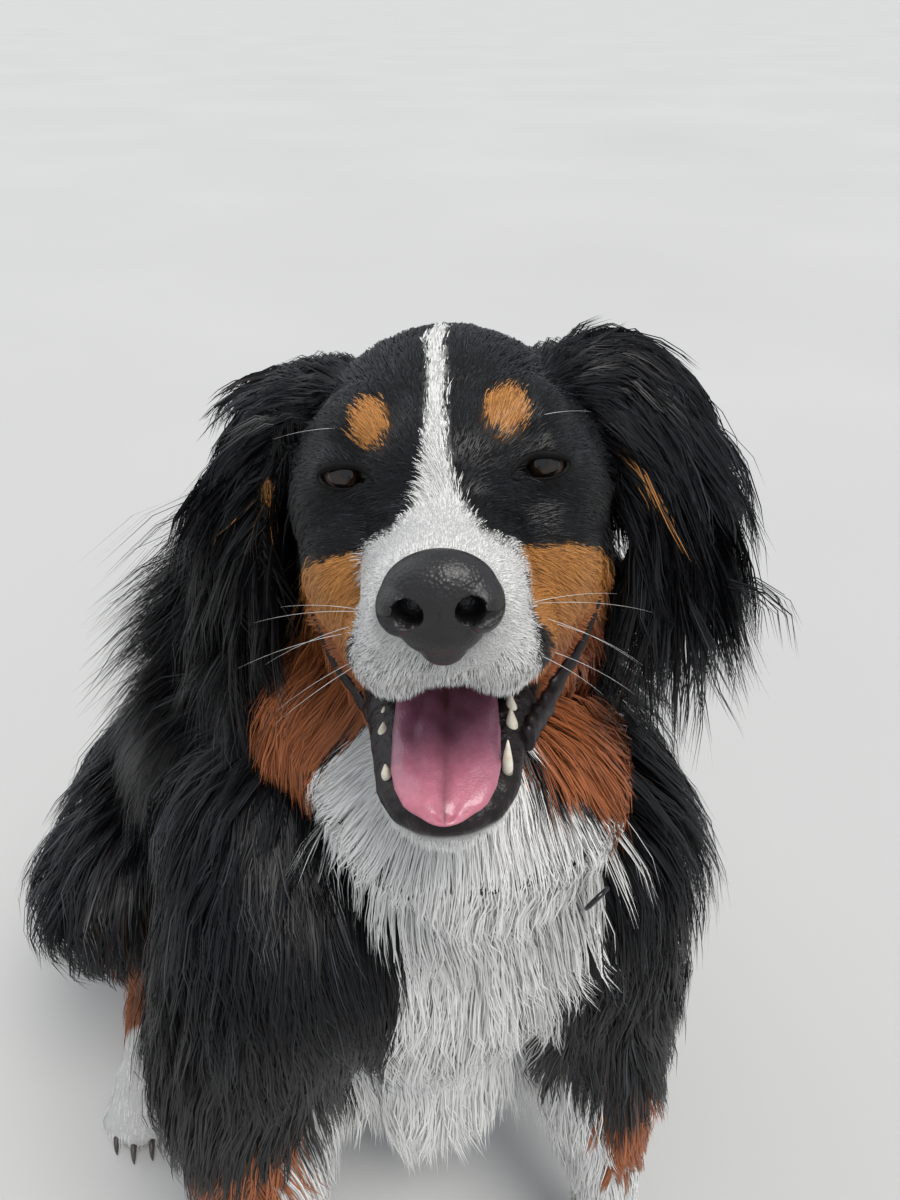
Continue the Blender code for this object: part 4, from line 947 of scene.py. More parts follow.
def hair_colours(p, draw):
    """A colour for each hair at its root and at its tip. Roots are painted darker, as the shade deep in
    the coat, and some black hairs carry a painted glint at the tip.
    """
    count = len(p)
    h = to_head(p)
    pale, warm = markings(p, HAIR_BLEND)
    is_white = draw.random(count) < pale
    is_rust = ~is_white & (draw.random(count) < warm / np.maximum(1 - pale, 1e-6))
    shade = draw.random(count)
    black = mixed(BLACK, BLACK_LIGHT, shade ** 3 * 0.6)
    brown = (draw.random(count) < BROWN_SHARE) | (ripple(p, 0.16, SEED + 2) > 0.83)
    brown &= h[:, 1] > BROWN_FROM
    black = chosen(brown & (draw.random(count) < 0.45), BROWN, black)
    rust = mixed(RUST, RUST_DARK, shade ** 2 * 0.7)
    rust = mixed(rust, mixed(GOLD, GOLD_DARK, shade ** 2 * 0.7), goldness(h))
    white = mixed(WHITE, GREY, shade ** 5 * 0.35)
    under_nose = (h[:, 1] < 0.05) & (h[:, 2] < -0.026) & (h[:, 2] > -0.08)
    white = chosen(under_nose & (draw.random(count) < SPECKLE_SHARE), GREY * 0.55, white)
    root = chosen(is_white, white, chosen(is_rust, rust, black))
    # Some black hairs get a painted glint at the tip, standing for the highlights on the coat.
    glint_share = np.where(h[:, 1] > BROWN_FROM, GLINT_SHARE, GLINT_SHARE * 0.35)
    dark = ~is_white & ~is_rust & (draw.random(count) < glint_share)
    tips = chosen(dark, GLINT_TIP, root * chosen(is_white, 1.04, 1.25))
    # Painted shade: each root is darker than its tip, as deep in the coat.
    return root * chosen(is_white, 0.88, 0.60), tips


# How the coat lies


def groom_sites():
    """The known places of the coat in the dog's frame: place, way, length, lift, width, wind."""
    rows = []
    for x, y, z, a, b, c, *sizes in HEAD_GROOM:
        for s in (1, -1) if x else (1,):
            way = (HEAD_TURN @ Vector((s * a, b, c))).normalized()
            rows.append((*(HEAD_FRAME @ at(s * x, y, z)), *way, *mm(*sizes), 0.0))
    for side, s in SIDES.items():
        joints = [HEAD_FRAME @ sided(spot, s) for spot in EAR_PATH[side]]
        ends = joints[2:] + [joints[-1] + (joints[-1] - joints[-2])]
        for a, b, (turn, length, lift, wind) in zip(joints[1:], ends, EAR_GROOM[side]):
            way = ((b - a).normalized() + Vector((s * turn, turn * 0.4, 0))).normalized()
            rows.append((*a, *way, *mm(length, lift), EAR_HAIR, wind))
    for x, y, z, length, lift, width, wind in BODY_GROOM:
        rows.append((*at(x, y, z), 0, 0, 0, *mm(length, lift, width), wind))
    return np.array(rows)


def streams():
    """Straight stretches of the body, each with the direction in which its coat lies."""
    chains = [[NECK_TOP, NECK_BASE, WITHERS, RIBS, LOIN, RUMP, TAIL[0]], BIB_LINE, TAIL]
    for side in SIDES:
        chains.append([SHOULDER[side]] + ARM[side])
        chains.append([LEG[side][0] + Vector((0, 0, 0.06))] + LEG[side][1:])
    return [(np.array(a), np.array(b)) for chain in chains for a, b in zip(chain, chain[1:])]


SITES = groom_sites()
STREAMS = streams()


def distance_to(points, start, end):
    """How far points lie from a straight stretch."""
    way = end - start
    t = np.clip((points - start) @ way / (way @ way), 0, 1)
    return np.linalg.norm(points - start - t[:, None] * way, axis=1)


def body_lie(points):
    """The direction of the body's coat at points, before it is laid along the skin."""
    total = np.zeros((len(points), 1))
    drift = np.zeros((len(points), 3))
    for a, b in STREAMS:
        weight = 1.0 / (distance_to(points, a, b)[:, None] ** 4 + 1e-7)
        drift += weight * (b - a) / np.linalg.norm(b - a)
        total += weight
    lie = drift / total - UP * SAG
    blown = (points[:, 0] < -0.04) & (points[:, 2] > 0.50) & (points[:, 1] > 0.03)
    lie[blown] += WIND_RIGHT * 0.6
    near = np.clip(1 - np.linalg.norm(points - RUFF_SPOT, axis=1) / RUFF_SIZE, 0, 1)
    return lie + near[:, None] * RUFF_SWEEP


def groom(points):
    """Length, lift, width, wind and direction of the coat at points of the dog."""
    gaps = ((points[:, None, :] - SITES[None, :, :3]) ** 2).sum(axis=2)
    weights = 1.0 / (gaps ** 2.5 + 1e-9)
    values = weights / weights.sum(axis=1, keepdims=True) @ SITES[:, 3:]
    known = np.clip(np.linalg.norm(values[:, :3], axis=1), 0, 1)
    ways = values[:, :3] + (1 - known)[:, None] * body_lie(points)
    return {"way": ways, **dict(zip(("length", "lift", "width", "wind"), values[:, 3:].T))}


# Places on the skin


def triangle_arrays(item):
    """The skin as arrays: corners, normals and UVs of its triangles."""
    mesh = item.data
    mesh.calc_loop_triangles()
    count = len(mesh.loop_triangles)
    verts = np.empty(count * 3, dtype=np.int32)
    loops = np.empty(count * 3, dtype=np.int32)
    mesh.loop_triangles.foreach_get("vertices", verts)
    mesh.loop_triangles.foreach_get("loops", loops)
    uv = np.empty(len(mesh.loops) * 2)
    mesh.uv_layers["OFBake"].data.foreach_get("uv", uv)
    spots = vertex_array(mesh)[verts.reshape(-1, 3)]
    ways = normal_array(mesh)[verts.reshape(-1, 3)]
    return {"spots": spots, "ways": ways, "uv": uv.reshape(-1, 2)[loops.reshape(-1, 3)]}


def bare_share(p):
    """Where the skin has no coat: the mouth, its lips, the rims of the eyes, under the nose, and along
    the cheek folds, where the dark bare skin is painted shade.
    """
    h = to_head(p)
    x, y, z = h.T
    middle, wide, high = (interp(JAW[::-1], y, k) for k in (1, 2, 3))
    side = np.abs(x - JAW_SHIFT) / wide
    lip = np.clip(((z - middle) / high + 0.35) / 0.3, 0, 1)
    lip *= (side < 1.25) & (z < -0.068) & (y < 0.118)
    middle, wide, high = (interp(PALATE, y, k) for k in (1, 2, 3))
    inside = np.sqrt((x / (wide + 0.001)) ** 2 + ((z - middle) / (high + 0.001)) ** 2)
    bare = np.maximum(lip, (inside < 1.08) & (y < 0.134) & (y > 0.020))
    for s in SIDES.values():
        dx, dy, dz = (h - np.array(lid_spot(s))).T
        wide_way = dx * cos(s * EYE_TURN) + dy * sin(s * EYE_TURN)
        reach = np.sqrt((wide_way / 0.0128) ** 2 + (dz / 0.0056) ** 2)
        bare = np.maximum(bare, np.clip((1.10 - reach) / 0.2, 0, 1) * (y < EYE.y + 0.01))
    # Along the cheek folds the skin is bare and dark, as painted shade in the folds.
    for rows in CREASE.values():
        for start, end in zip(rows, rows[1:]):
            gap = distance_to(h, start[:3], end[:3])
            bare = np.maximum(bare, np.clip(((start[3] + end[3]) / 2 - gap) / 0.001, 0, 1))
    pad = np.sqrt((x / 0.0225) ** 2 + ((z + 0.005) / 0.0165) ** 2) < 1
    below = (np.abs(x) < 0.007) & (z < 0) & (z > -0.032)
    return np.maximum(bare, (y < 0.0205) & (pad | below))


def region_of(p):
    """The name of the region of the coat for each point."""
    x, y, z = p.T
    a, b, c = to_head(p).T
    names = np.full(len(p), "rump", dtype="U8")
    names[y < 0.27] = "back"
    names[(y < 0.02) & (z < 0.60)] = "chest"
    names[z > 0.515] = "neck"
    names[(z > 0.535) & (x < -0.025) & (y > -0.005)] = "mane"
    names[(z < 0.515) & (z > 0.455) & (y < -0.02) & (np.abs(x) < 0.11)] = "chest"
    names[(z > 0.50) & (y < -0.07) & (x > -0.09) & (x < 0.15)] = "chest"
    outside = np.where(x < 0, x < -0.098, x > 0.080)
    names[outside & (y < 0.048) & (z < 0.43)] = "arms"
    hind = ((x < LEG["right"][1].x + 0.068) | (x > LEG["left"][1].x - 0.068)) & (y < 0.46)
    names[hind & (y > 0.05) & (z < 0.30)] = "legs"
    names[(z < 0.075) & (y < 0.05)] = "paws"
    names[(z < 0.062) & (y > 0.05) & (y < 0.24)] = "paws"
    names[y > 0.47] = "tail"
    head = (c > -0.145) & (b < 0.225) & (z > 0.585)
    names[head] = "face"
    names[head & (b > 0.095) & (c < -0.004)] = "cheeks"
    names[head & (b < 0.100) & (c < 0.026)] = "muzzle"
    names[(x < 0.015) & (a < -0.030) & (b > 0.205) & (z > 0.60)] = "mane"
    names[head & (np.abs(a) > 0.087) & (b > 0.150) & (c > -0.115)] = "ears"
    return names


def scattered(skin, picked, weights, count, draw):
    """Random places on the picked triangles: point, normal and UV of each."""
    picks = draw.choice(picked, size=count, p=weights / weights.sum())
    u, v = draw.random((2, count))
    flip = u + v > 1
    u[flip], v[flip] = 1 - u[flip], 1 - v[flip]
    shares = np.stack([1 - u - v, u, v], axis=1)[:, :, None]
    places = {key: (skin[key][picks] * shares).sum(axis=1) for key in skin}
    places["ways"] /= np.linalg.norm(places["ways"], axis=1, keepdims=True)
    return places


# Hairs


def unit(ways):
    return ways / np.maximum(np.linalg.norm(ways, axis=-1, keepdims=True), 1e-9)


def laid(ways, normals):
    """Directions laid along the skin."""
    return unit(ways - normals * (ways * normals).sum(axis=1, keepdims=True))


def breeze(points):
    """The way in which loose hair is blown: outwards on both sides."""
    low, high = WIND_TURN
    share = np.clip((points[:, :1] - low) / (high - low), 0, 1)
    return WIND_RIGHT * (1 - share) + WIND_LEFT * share


def overhang(ways):
    """How far the skin faces down, from 0 to 1."""
    return np.clip((-ways[:, 2] - HANG_FROM) / HANG_FADE, 0, 1)


def over_collar(paths, sleeve):
    """Lifts the paths over the collar's band where they cross it."""
    local = (paths - np.array(COLLAR_MIDDLE)) @ COLLAR_AXES
    out = np.linalg.norm(local[:, :, :2], axis=2)
    angle = np.arctan2(local[:, :, 1], local[:, :, 0])
    ticks = np.arange(len(sleeve)) * (2 * pi / len(sleeve))
    wall = np.interp(angle, ticks, sleeve, period=2 * pi) + COLLAR_CLEAR + COLLAR_THICK + BAND_COVER
    ease = np.clip((BAND_EASE - np.abs(local[:, :, 2])) / (BAND_EASE - COLLAR_HALF), 0, 1)
    push = np.clip(wall - out, 0, BAND_PUSH) * ease
    push[:, 0] = 0
    local[:, :, :2] *= (1 + push / np.maximum(out, 1e-6))[:, :, None]
    return local @ COLLAR_AXES.T + np.array(COLLAR_MIDDLE)


def band_weights(p, sleeve):
    """How many hairs grow by the collar: none under it, and more just above it."""
    local = (p - np.array(COLLAR_MIDDLE)) @ COLLAR_AXES
    near = np.linalg.norm(local[:, :2], axis=1) < max(sleeve) + COLLAR_CLEAR
    under = near & (np.abs(local[:, 2]) < COLLAR_HALF)
    above = near & (local[:, 2] > COLLAR_HALF) & (local[:, 2] < BAND_EASE)
    return np.where(under, 0.0, 1.0 + BAND_DENSE * above)


def skin_paths(tree, spots, normals, ways, steps):
    """Paths that follow the skin and go on past its rims, with the way out at each point."""
    paths = np.empty((len(spots), GUIDE_POINTS, 3))
    outs = np.empty_like(paths)
    for i, step in enumerate(steps):
        spot, way, out = Vector(spots[i]), Vector(ways[i]), Vector(normals[i])
        paths[i, 0], outs[i, 0] = spot, out
        free = False
        for k in range(1, GUIDE_POINTS):
            ahead = spot + way * step
            near, turned, _, _ = tree.find_nearest(ahead)
            free = free or turned.dot(out) < RIM_TURN
            spot, out = (ahead, out) if free else (near, turned)
            way = way - out * way.dot(out) - Vector((0, 0, 0.05))
            way.normalize()
            paths[i, k], outs[i, k] = spot, out
    return paths, outs


def guide_paths(tree, places, draw, sleeve):
    """Paths that follow the skin, rise off it and wave, one for each clump."""
    spots, normals = places["spots"], places["ways"]
    lay = groom(spots)
    count = len(spots)
    sway = ripple(spots, 0.11, SEED + 4) * 0.30 + draw.normal(0, 0.06, count)
    ways = laid(lay["way"], normals)
    sides = np.cross(normals, ways)
    ways = unit(ways + sides * sway[:, None])
    lengths = lay["length"] * draw.uniform(*CLUMP_LENGTH, count)
    paths, outs = skin_paths(tree, spots, normals, ways, lengths / (GUIDE_POINTS - 1))
    t = np.linspace(0, 1, GUIDE_POINTS)[None, :, None]
    starts, reach = spots[:, None, :], lengths[:, None, None]
    rise = lay["lift"] * draw.uniform(*CLUMP_RISE, count)
    paths += outs * rise[:, None, None] * np.sin(t * pi * LIFT_BEND)
    straight = normals * 0.6 + breeze(spots)
    straight = unit(straight + draw.normal(0, WIND_STRAY, (count, 3)))[:, None, :] * reach
    blown = starts + straight * t - UP * (WIND_DROOP * reach * t * t)
    wind = np.clip(lay["wind"] * draw.uniform(0.6, 1.3, count), 0, 1)[:, None, None]
    paths += (blown - paths) * wind
    paths += (starts - UP * (reach * t) - paths) * overhang(normals)[:, None, None]
    paths -= UP * (DROOP * reach * t * t)
    wave = reach * WAVE * draw.uniform(0.4, 1.3, (count, 1, 1))
    phase = ripple(spots, 0.10, SEED + 3) * 3 + draw.uniform(-0.7, 0.7, count)
    phase = phase[:, None, None]
    paths += sides[:, None, :] * wave * (np.sin(2.5 * pi * t + phase) - np.sin(phase)) * t
    return over_collar(paths, sleeve)


def nearest_index(known, points):
    """For each point, the index of the closest known point."""
    tree = KDTree(len(known))
    for i, spot in enumerate(known):
        tree.insert(spot, i)
    tree.balance()
    return np.array([tree.find(point)[1] for point in points])


def drawn_together(paths, share, draw):
    """Bends the paths of neighbouring clumps towards one of them, as in a lock."""
    leaders = draw.choice(len(paths), size=max(1, len(paths) // LOCK_SIZE), replace=False)
    chief = leaders[nearest_index(paths[leaders, 0], paths[:, 0])]
    t = np.linspace(0, 1, GUIDE_POINTS)[None, :, None]
    return paths + (paths[chief] - paths) * (share * t ** 1.6)


def resampled(paths, points):
    """The same paths with another number of points."""
    spots = np.linspace(0, GUIDE_POINTS - 1, points)
    low = np.minimum(spots.astype(int), GUIDE_POINTS - 2)
    share = (spots - low)[None, :, None]
    return paths[:, low] * (1 - share) + paths[:, low + 1] * share


def hair_paths(guides, places, points, clump, lay, draw):
    """The path of every hair, from its root towards the tip of its clump."""
    home = nearest_index(guides[:, 0], places["spots"])
    count = len(home)
    shape = resampled(guides, points)[home]
    start = shape[:, :1]
    relative = (shape - start) * draw.uniform(*HAIR_LENGTH, (count, 1, 1))
    t = np.linspace(0, 1, points)[None, :, None]
    roots = places["spots"] - places["ways"] * np.minimum(lay["lift"] * 0.3, 0.002)[:, None]
    loose = roots[:, None, :] + relative
    pull = clump * draw.uniform(*HAIR_PULL, (count, 1, 1)) * t ** 1.2
    paths = loose + (start + relative - loose) * np.clip(pull, 0, 0.96)
    length = lay["length"][:, None, None]
    stray = draw.normal(0, 1, (count, 1, 3)) * length * STRAY
    spring = draw.normal(0, 1, (count, points, 3)) * length * SPRING
    paths += (stray * t + spring * (t > 0)) * t
    paths[:, :, 2] = np.maximum(paths[:, :, 2], FLOOR_CLEAR)
    return paths


def array_mesh(name, verts, index, sizes):
    """A mesh from arrays of points, corner indices and corners of each face."""
    mesh = bpy.data.meshes.new(name)
    mesh.vertices.add(len(verts))
    mesh.vertices.foreach_set("co", verts.ravel())
    mesh.loops.add(len(index))
    mesh.loops.foreach_set("vertex_index", index.astype(np.int32))
    mesh.polygons.add(len(sizes))
    starts = np.concatenate([[0], np.cumsum(sizes)[:-1]]).astype(np.int32)
    mesh.polygons.foreach_set("loop_start", starts)
    mesh.update(calc_edges=True)
    mesh.shade_smooth()
    return mesh


def set_colours(mesh, tint, name="tint"):
    layer = mesh.color_attributes.new(name, "FLOAT_COLOR", "POINT")
    filled = np.ones((len(tint), 4), dtype=np.float32)
    filled[:, :3] = tint
    layer.data.foreach_set("color", filled.ravel())


def ribbon_mesh(name, paths, normals, widths, roots, tips, uv, draw):
    """Tapered ribbons along paths, as one mesh with colours and a UV patch for each."""
    count, points, _ = paths.shape
    normals = normals[:, None, :]
    ahead = np.diff(paths, axis=1)
    ahead = unit(np.concatenate([ahead, ahead[:, -1:]], axis=1))
    side = unit(np.cross(normals, ahead))
    rise = np.cross(ahead, side)
    roll = draw.normal(0, ROLL, (count, 1, 1))
    facing = rise * np.cos(roll) - side * np.sin(roll)
    side = side * np.cos(roll) + rise * np.sin(roll)
    facing = unit(facing * (1 - SKIN_SHADE) + normals * SKIN_SHADE)
    t = np.linspace(0, 1, points)
    taper = np.append(TAPER_ROOT, 1 - TAPER * t[1:-1] ** 1.5)
    edge = side[:, :-1] * (widths[:, None, None] * taper[None, :, None] / 2)
    pairs = np.stack([paths[:, :-1] - edge, paths[:, :-1] + edge], axis=2)
    verts = np.concatenate([pairs.reshape(count, -1, 3), paths[:, -1:]], axis=1)
    size = 2 * points - 1
    loops = [2 * k + corner for k in range(points - 2) for corner in (0, 2, 3, 1)]
    loops += [size - 3, size - 1, size - 2]
    index = (np.arange(count)[:, None] * size + np.array(loops)[None, :]).ravel()
    mesh = array_mesh(name, verts.reshape(-1, 3), index, np.tile([4] * (points - 2) + [3], count))
    order = np.append(np.repeat(np.arange(points - 1), 2), points - 1)
    high = t[order]
    wide = np.append(np.tile([0.0, 1.0], points - 1), 0.5)
    # From the root's colour, painted darker as shade, to the tip's.
    tint = roots[:, None, :] + (tips - roots)[:, None, :] * high[None, :, None] ** 0.8
    set_colours(mesh, tint.reshape(-1, 3))
    strand = np.empty((count, size, 3))
    strand[:, :, 0] = wide
    strand[:, :, 1] = draw.random((count, 1))
    strand[:, :, 2] = high
    set_colours(mesh, strand.reshape(-1, 3), "strand")
    mesh.normals_split_custom_set_from_vertices(facing[:, order].reshape(-1, 3))
    patch = uv[:, None, :] + (np.stack([wide, high], axis=1) - 0.5) * TUFT_PATCH
    layer = mesh.uv_layers.new(name="OFBake")
    layer.data.foreach_set("uv", patch.reshape(-1, 2)[index].astype(np.float32).ravel())
    return mesh


def placed(item, material):
    """Moves a piece made in the dog's frame to its place, and gives it its body and finish."""
    item.data.transform(Matrix.Translation(SHIFT))
    item.data.materials.clear()
    item.data.materials.append(material)
    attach(item, "root")
    return item


def coat_region(name, skin, areas, names, tree, material, sleeve):
    """The coat of one region as one piece."""
    count, points, clump_size, clump, lock = REGIONS[name]
    draw = np.random.default_rng([SEED, len(name), count])
    picked = np.flatnonzero(names == name)
    middles = skin["spots"][picked].mean(axis=1)
    lay = groom(middles)
    weights = areas[picked] * (bare_share(middles) < 0.5) / (lay["length"] * lay["width"]) ** 0.5
    weights *= (middles[:, 2] > 0.004) * (1 + WIND_DENSE * lay["wind"])
    if name == "chest":
        weights *= 1 + HANG_DENSE * (middles[:, 2] < HANG_TOP)
    weights *= band_weights(middles, sleeve)
    places = scattered(skin, picked, weights, count, draw)
    seeds = scattered(skin, picked, weights, count // clump_size, draw)
    guides = guide_paths(tree, seeds, draw, sleeve)
    if lock:
        guides = drawn_together(guides, lock, draw)
    lay = groom(places["spots"])
    paths = hair_paths(guides, places, points, clump, lay, draw)
    roots, tips = hair_colours(places["spots"], draw)
    widths = lay["width"] * draw.uniform(*HAIR_WIDTH, count)
    under = overhang(places["ways"])[:, None]
    ways = unit(places["ways"] * (1 - under) + HANG_FACING * under)
    mesh = ribbon_mesh(f"coat_{name}", paths, ways, widths, roots, tips, places["uv"], draw)
    return placed(linked(f"coat_{name}", mesh), material)


# Finishes


class Finish:
    """A material to which nodes are added one by one."""

    def __init__(self, name, **inputs):
        self.material = bpy.data.materials.new(name)
        self.material.use_nodes = True
        self.tree = self.material.node_tree
        self.shader = self.feed(self.tree.nodes["Principled BSDF"], **inputs)

    def feed(self, node, **inputs):
        """Gives inputs of a node, named with low lines for spaces, a value or another output."""
        for name, value in inputs.items():
            socket = node.inputs[name.replace("_", " ")]
            if isinstance(value, bpy.types.NodeSocket):
                self.tree.links.new(value, socket)
            else:
                socket.default_value = value
        return node

    def add(self, kind, **inputs):
        return self.feed(self.tree.nodes.new("ShaderNode" + kind), **inputs)

    def attribute(self, name, output):
        node = self.add("Attribute")
        node.attribute_type = "GEOMETRY"
        node.attribute_name = name
        return node.outputs[output]

    def place(self):
        return self.add("TexCoord").outputs["Object"]

    def noise(self, scale, detail=4.0, stretch=(1, 1, 1)):
        """A noise in object coordinates, stretched along the axes."""
        mapping = self.add("Mapping", Vector=self.place(), Scale=stretch).outputs["Vector"]
        return self.add("TexNoise", Vector=mapping, Scale=scale, Detail=detail).outputs["Fac"]

    def cells(self, scale):
        return self.add("TexVoronoi", Vector=self.place(), Scale=scale).outputs["Distance"]

    def ramp(self, source, low, high, start=0.3, end=0.7):
        """Colours or greys along a value, between two of its places."""
        node = self.add("ValToRGB", Fac=source)
        for element, spot, tint in zip(node.color_ramp.elements, (start, end), (low, high)):
            element.position = spot
            element.color = (*np.broadcast_to(tint, 3), 1.0)
        return node.outputs["Color"]

    def mix(self, a, b, share=1.0, mode="MIX"):
        node = self.tree.nodes.new("ShaderNodeMix")
        node.data_type = "RGBA"
        node.blend_type = mode
        return self.feed(node, Factor=share, A=a, B=b).outputs["Result"]

    def varied(self, source, low, start=0.3, end=0.7):
        """The colour that the piece carries, darker where a value is low."""
        shade = self.ramp(source, low, 1.0, start, end)
        return self.mix(self.attribute("tint", "Color"), shade, mode="MULTIPLY")

    def finished(self, **inputs):
        self.feed(self.shader, **inputs)
        return self.material

    def bump(self, height, strength, distance):
        node = self.add("Bump", Height=height, Strength=strength, Distance=distance)
        return node.outputs["Normal"]


def coat_finish():
    """Hair: the colour that each ribbon carries, with the streaks of its fibres."""
    look = Finish("coat", Roughness=0.40, Specular_IOR_Level=0.26, Metallic=0.0)
    strand = look.add("Mapping", Vector=look.attribute("strand", "Vector"), Scale=STRANDS)
    fibre = look.add("TexNoise", Vector=strand.outputs["Vector"], Scale=1.0, Detail=1.0)
    tint = look.varied(fibre.outputs["Fac"], 0.80, 0.32, 0.62)
    return look.finished(Base_Color=tint, Sheen_Weight=0.02, Sheen_Roughness=0.4)


def skin_finish():
    """Short flat coat as bump, and bare skin at the lips and eyes."""
    look = Finish("skin", Specular_IOR_Level=0.3)
    bare = look.attribute("bare", "Fac")
    hair = look.noise(1500.0, 3.0)
    flesh = look.noise(160.0, 6.0)
    # Bare skin is dark; along the cheek folds this dark stands for painted shade as well as lip.
    lips = look.ramp(flesh, (0.004, 0.0035, 0.004), (0.020, 0.010, 0.011), 0.35, 0.75)
    return look.finished(
        Base_Color=look.mix(look.varied(hair, 0.6), lips, bare),
        Roughness=look.ramp(bare, 0.8, 0.32, 0.0, 1.0),
        Normal=look.bump(look.mix(hair, flesh, bare), 0.8, 0.0022),
    )


def nose_finish():
    """Dark pebbled skin, moist on top."""
    look = Finish("nose", Specular_IOR_Level=0.42, Coat_Weight=0.18, Coat_Roughness=0.30)
    hollows = look.ramp(look.cells(620.0), 1.0, 0.0, 0.0, 0.75)
    return look.finished(
        Base_Color=look.ramp(look.noise(90.0), (0.0048, 0.0040, 0.0045), (0.0115, 0.0095, 0.0105)),
        Roughness=look.ramp(look.noise(60.0), 0.34, 0.50),
        Normal=look.bump(hollows, 0.55, 0.0005),
    )


def tongue_finish():
    look = Finish("tongue", Roughness=0.38, Specular_IOR_Level=0.5, Subsurface_Weight=0.12)
    return look.finished(
        Coat_Weight=0.35, Coat_Roughness=0.18,
        Subsurface_Radius=(0.006, 0.002, 0.0015), Subsurface_Scale=0.5,
        Base_Color=look.varied(look.noise(300.0, 5.0), 0.82),
        Normal=look.bump(look.cells(900.0), 0.35, 0.0004),
    )


def eye_finish():
    """A dark brown iris with fibres, under a clear wet surface."""
    look = Finish("eye", Roughness=0.30, Specular_IOR_Level=0.0)
    tint = look.varied(look.noise(700.0), 0.6)
    return look.finished(Base_Color=tint, Coat_Weight=1.0, Coat_IOR=1.50, Coat_Roughness=0.02)


def plain_finish(name, stretch=(1, 1, 1), metallic=0.0, specular=0.5):
    """A finish that wanders between two colours, with a fine relief of the same grain."""
    dark, light, scale, roughness, depth = PLAIN[name]
    look = Finish(name, Specular_IOR_Level=specular, Metallic=metallic)
    grain = look.noise(scale, 5.0, stretch)
    return look.finished(
        Base_Color=look.ramp(grain, dark, light),
        Roughness=look.ramp(grain, *roughness),
        Normal=look.bump(grain, 0.5, depth),
    )


def webbing_finish():
    """A woven band: two crossing waves of threads."""
    look = Finish("webbing", Roughness=0.62)
    threads = []
    for axis in ("X", "Z"):
        wave = look.add("TexWave", Vector=look.place(), Scale=210.0, Distortion=0.4)
        wave.bands_direction = axis
        threads.append(wave.outputs["Color"])
    weave = look.mix(*threads, mode="MULTIPLY")
    tint = look.ramp(weave, (0.006, 0.006, 0.007), (0.030, 0.030, 0.033), 0.1, 0.9)
    return look.finished(Base_Color=tint, Normal=look.bump(weave, 0.7, 0.0005))


# Pieces of the head


def make_nose():
    """The nose pad, with nostrils that curl to the sides and a groove below."""
    forms = [head_form(row, 1, 48, 32) for row in NOSE_MIDDLE]
    forms += [head_form(NOSE_WING, s) for s in SIDES.values()]
    item = blended(forms, NOSE_VOXEL, 22)
    for s in SIDES.values():
        cut(item, tube([sided(spot, s) for spot in NOSTRIL_PATH], NOSTRIL_SIZES, 20))
    groove = tube(GROOVE_PATH, [GROOVE_SIZE] * len(GROOVE_PATH), 16, Vector((0, 1, 0)))
    cut(item, groove, block((-0.1, NOSE_BACK, -0.1), (0.1, 0.1, 0.1)))
    smoothed(item, 4)
    item.data.transform(HEAD_FRAME)
    return smooth_object(item, "nose")


def make_eye(side):
    """An eyeball whose iris looks at the camera, with a low bulge in front."""
    centre = HEAD_FRAME @ sided(EYE, SIDES[side])
    gaze = (CAMERA_SPOT - centre).normalized()
    item = ellipsoid((0, 0, 0), [EYE_RADIUS] * 3, (0, 0, 0), 96, 64)
    spots = vertex_array(item.data)
    angle = np.degrees(np.arccos(np.clip(spots @ np.array(gaze) / EYE_RADIUS, -1, 1)))
    bulge = EYE_BULGE * np.clip(1 - (angle / EYE_RINGS["bulge"]) ** 2, 0, 1)
    moved(item, spots * (1 + bulge / EYE_RADIUS)[:, None])
    tint = mixed(np.array((0.032, 0.013, 0.006)), np.array((0.006, 0.004, 0.003)), angle / 40)
    tint = chosen(angle < EYE_RINGS["pupil"], 0.003, tint)
    edge = np.clip((angle - EYE_RINGS["iris"]) / 4, 0, 1)
    tint = mixed(tint, np.array((0.004, 0.003, 0.003)), edge)
    tint = mixed(tint, np.array((0.10, 0.07, 0.06)), np.clip((angle - EYE_RINGS["rim"]) / 6, 0, 1))
    set_colours(item.data, tint)
    item.data.transform(Matrix.Translation(centre))
    return smooth_object(item, f"eyeball_{side}")


def make_lips(tree):
    """Dark ridges along the folds that run up the cheeks from the corners of the mouth: partly lip,
    partly painted shade of the folds.
    """
    forms = []
    for side, rows in CREASE.items():
        points = []
        sizes = []
        for t in np.linspace(0, len(rows) - 1, LIP_STEPS):
            low = min(int(t), len(rows) - 2)
            *place, size = rows[low] + (rows[low + 1] - rows[low]) * (t - low)
            spot, out, _, _ = tree.find_nearest(HEAD_FRAME @ Vector(place))
            points.append(spot + out * (size * LIP_RISE))
            size *= 1 + LIP_BEAD * sin(LIP_BEADS * t)
            sizes.append((size * LIP_WIDE, size * LIP_HIGH))
        forms.append(tube(points, sizes, 16, HEAD_TURN @ Vector((SIDES[side], -0.8, 0))))
    return smooth_object(joined(forms), "lips_and_fold_shade")


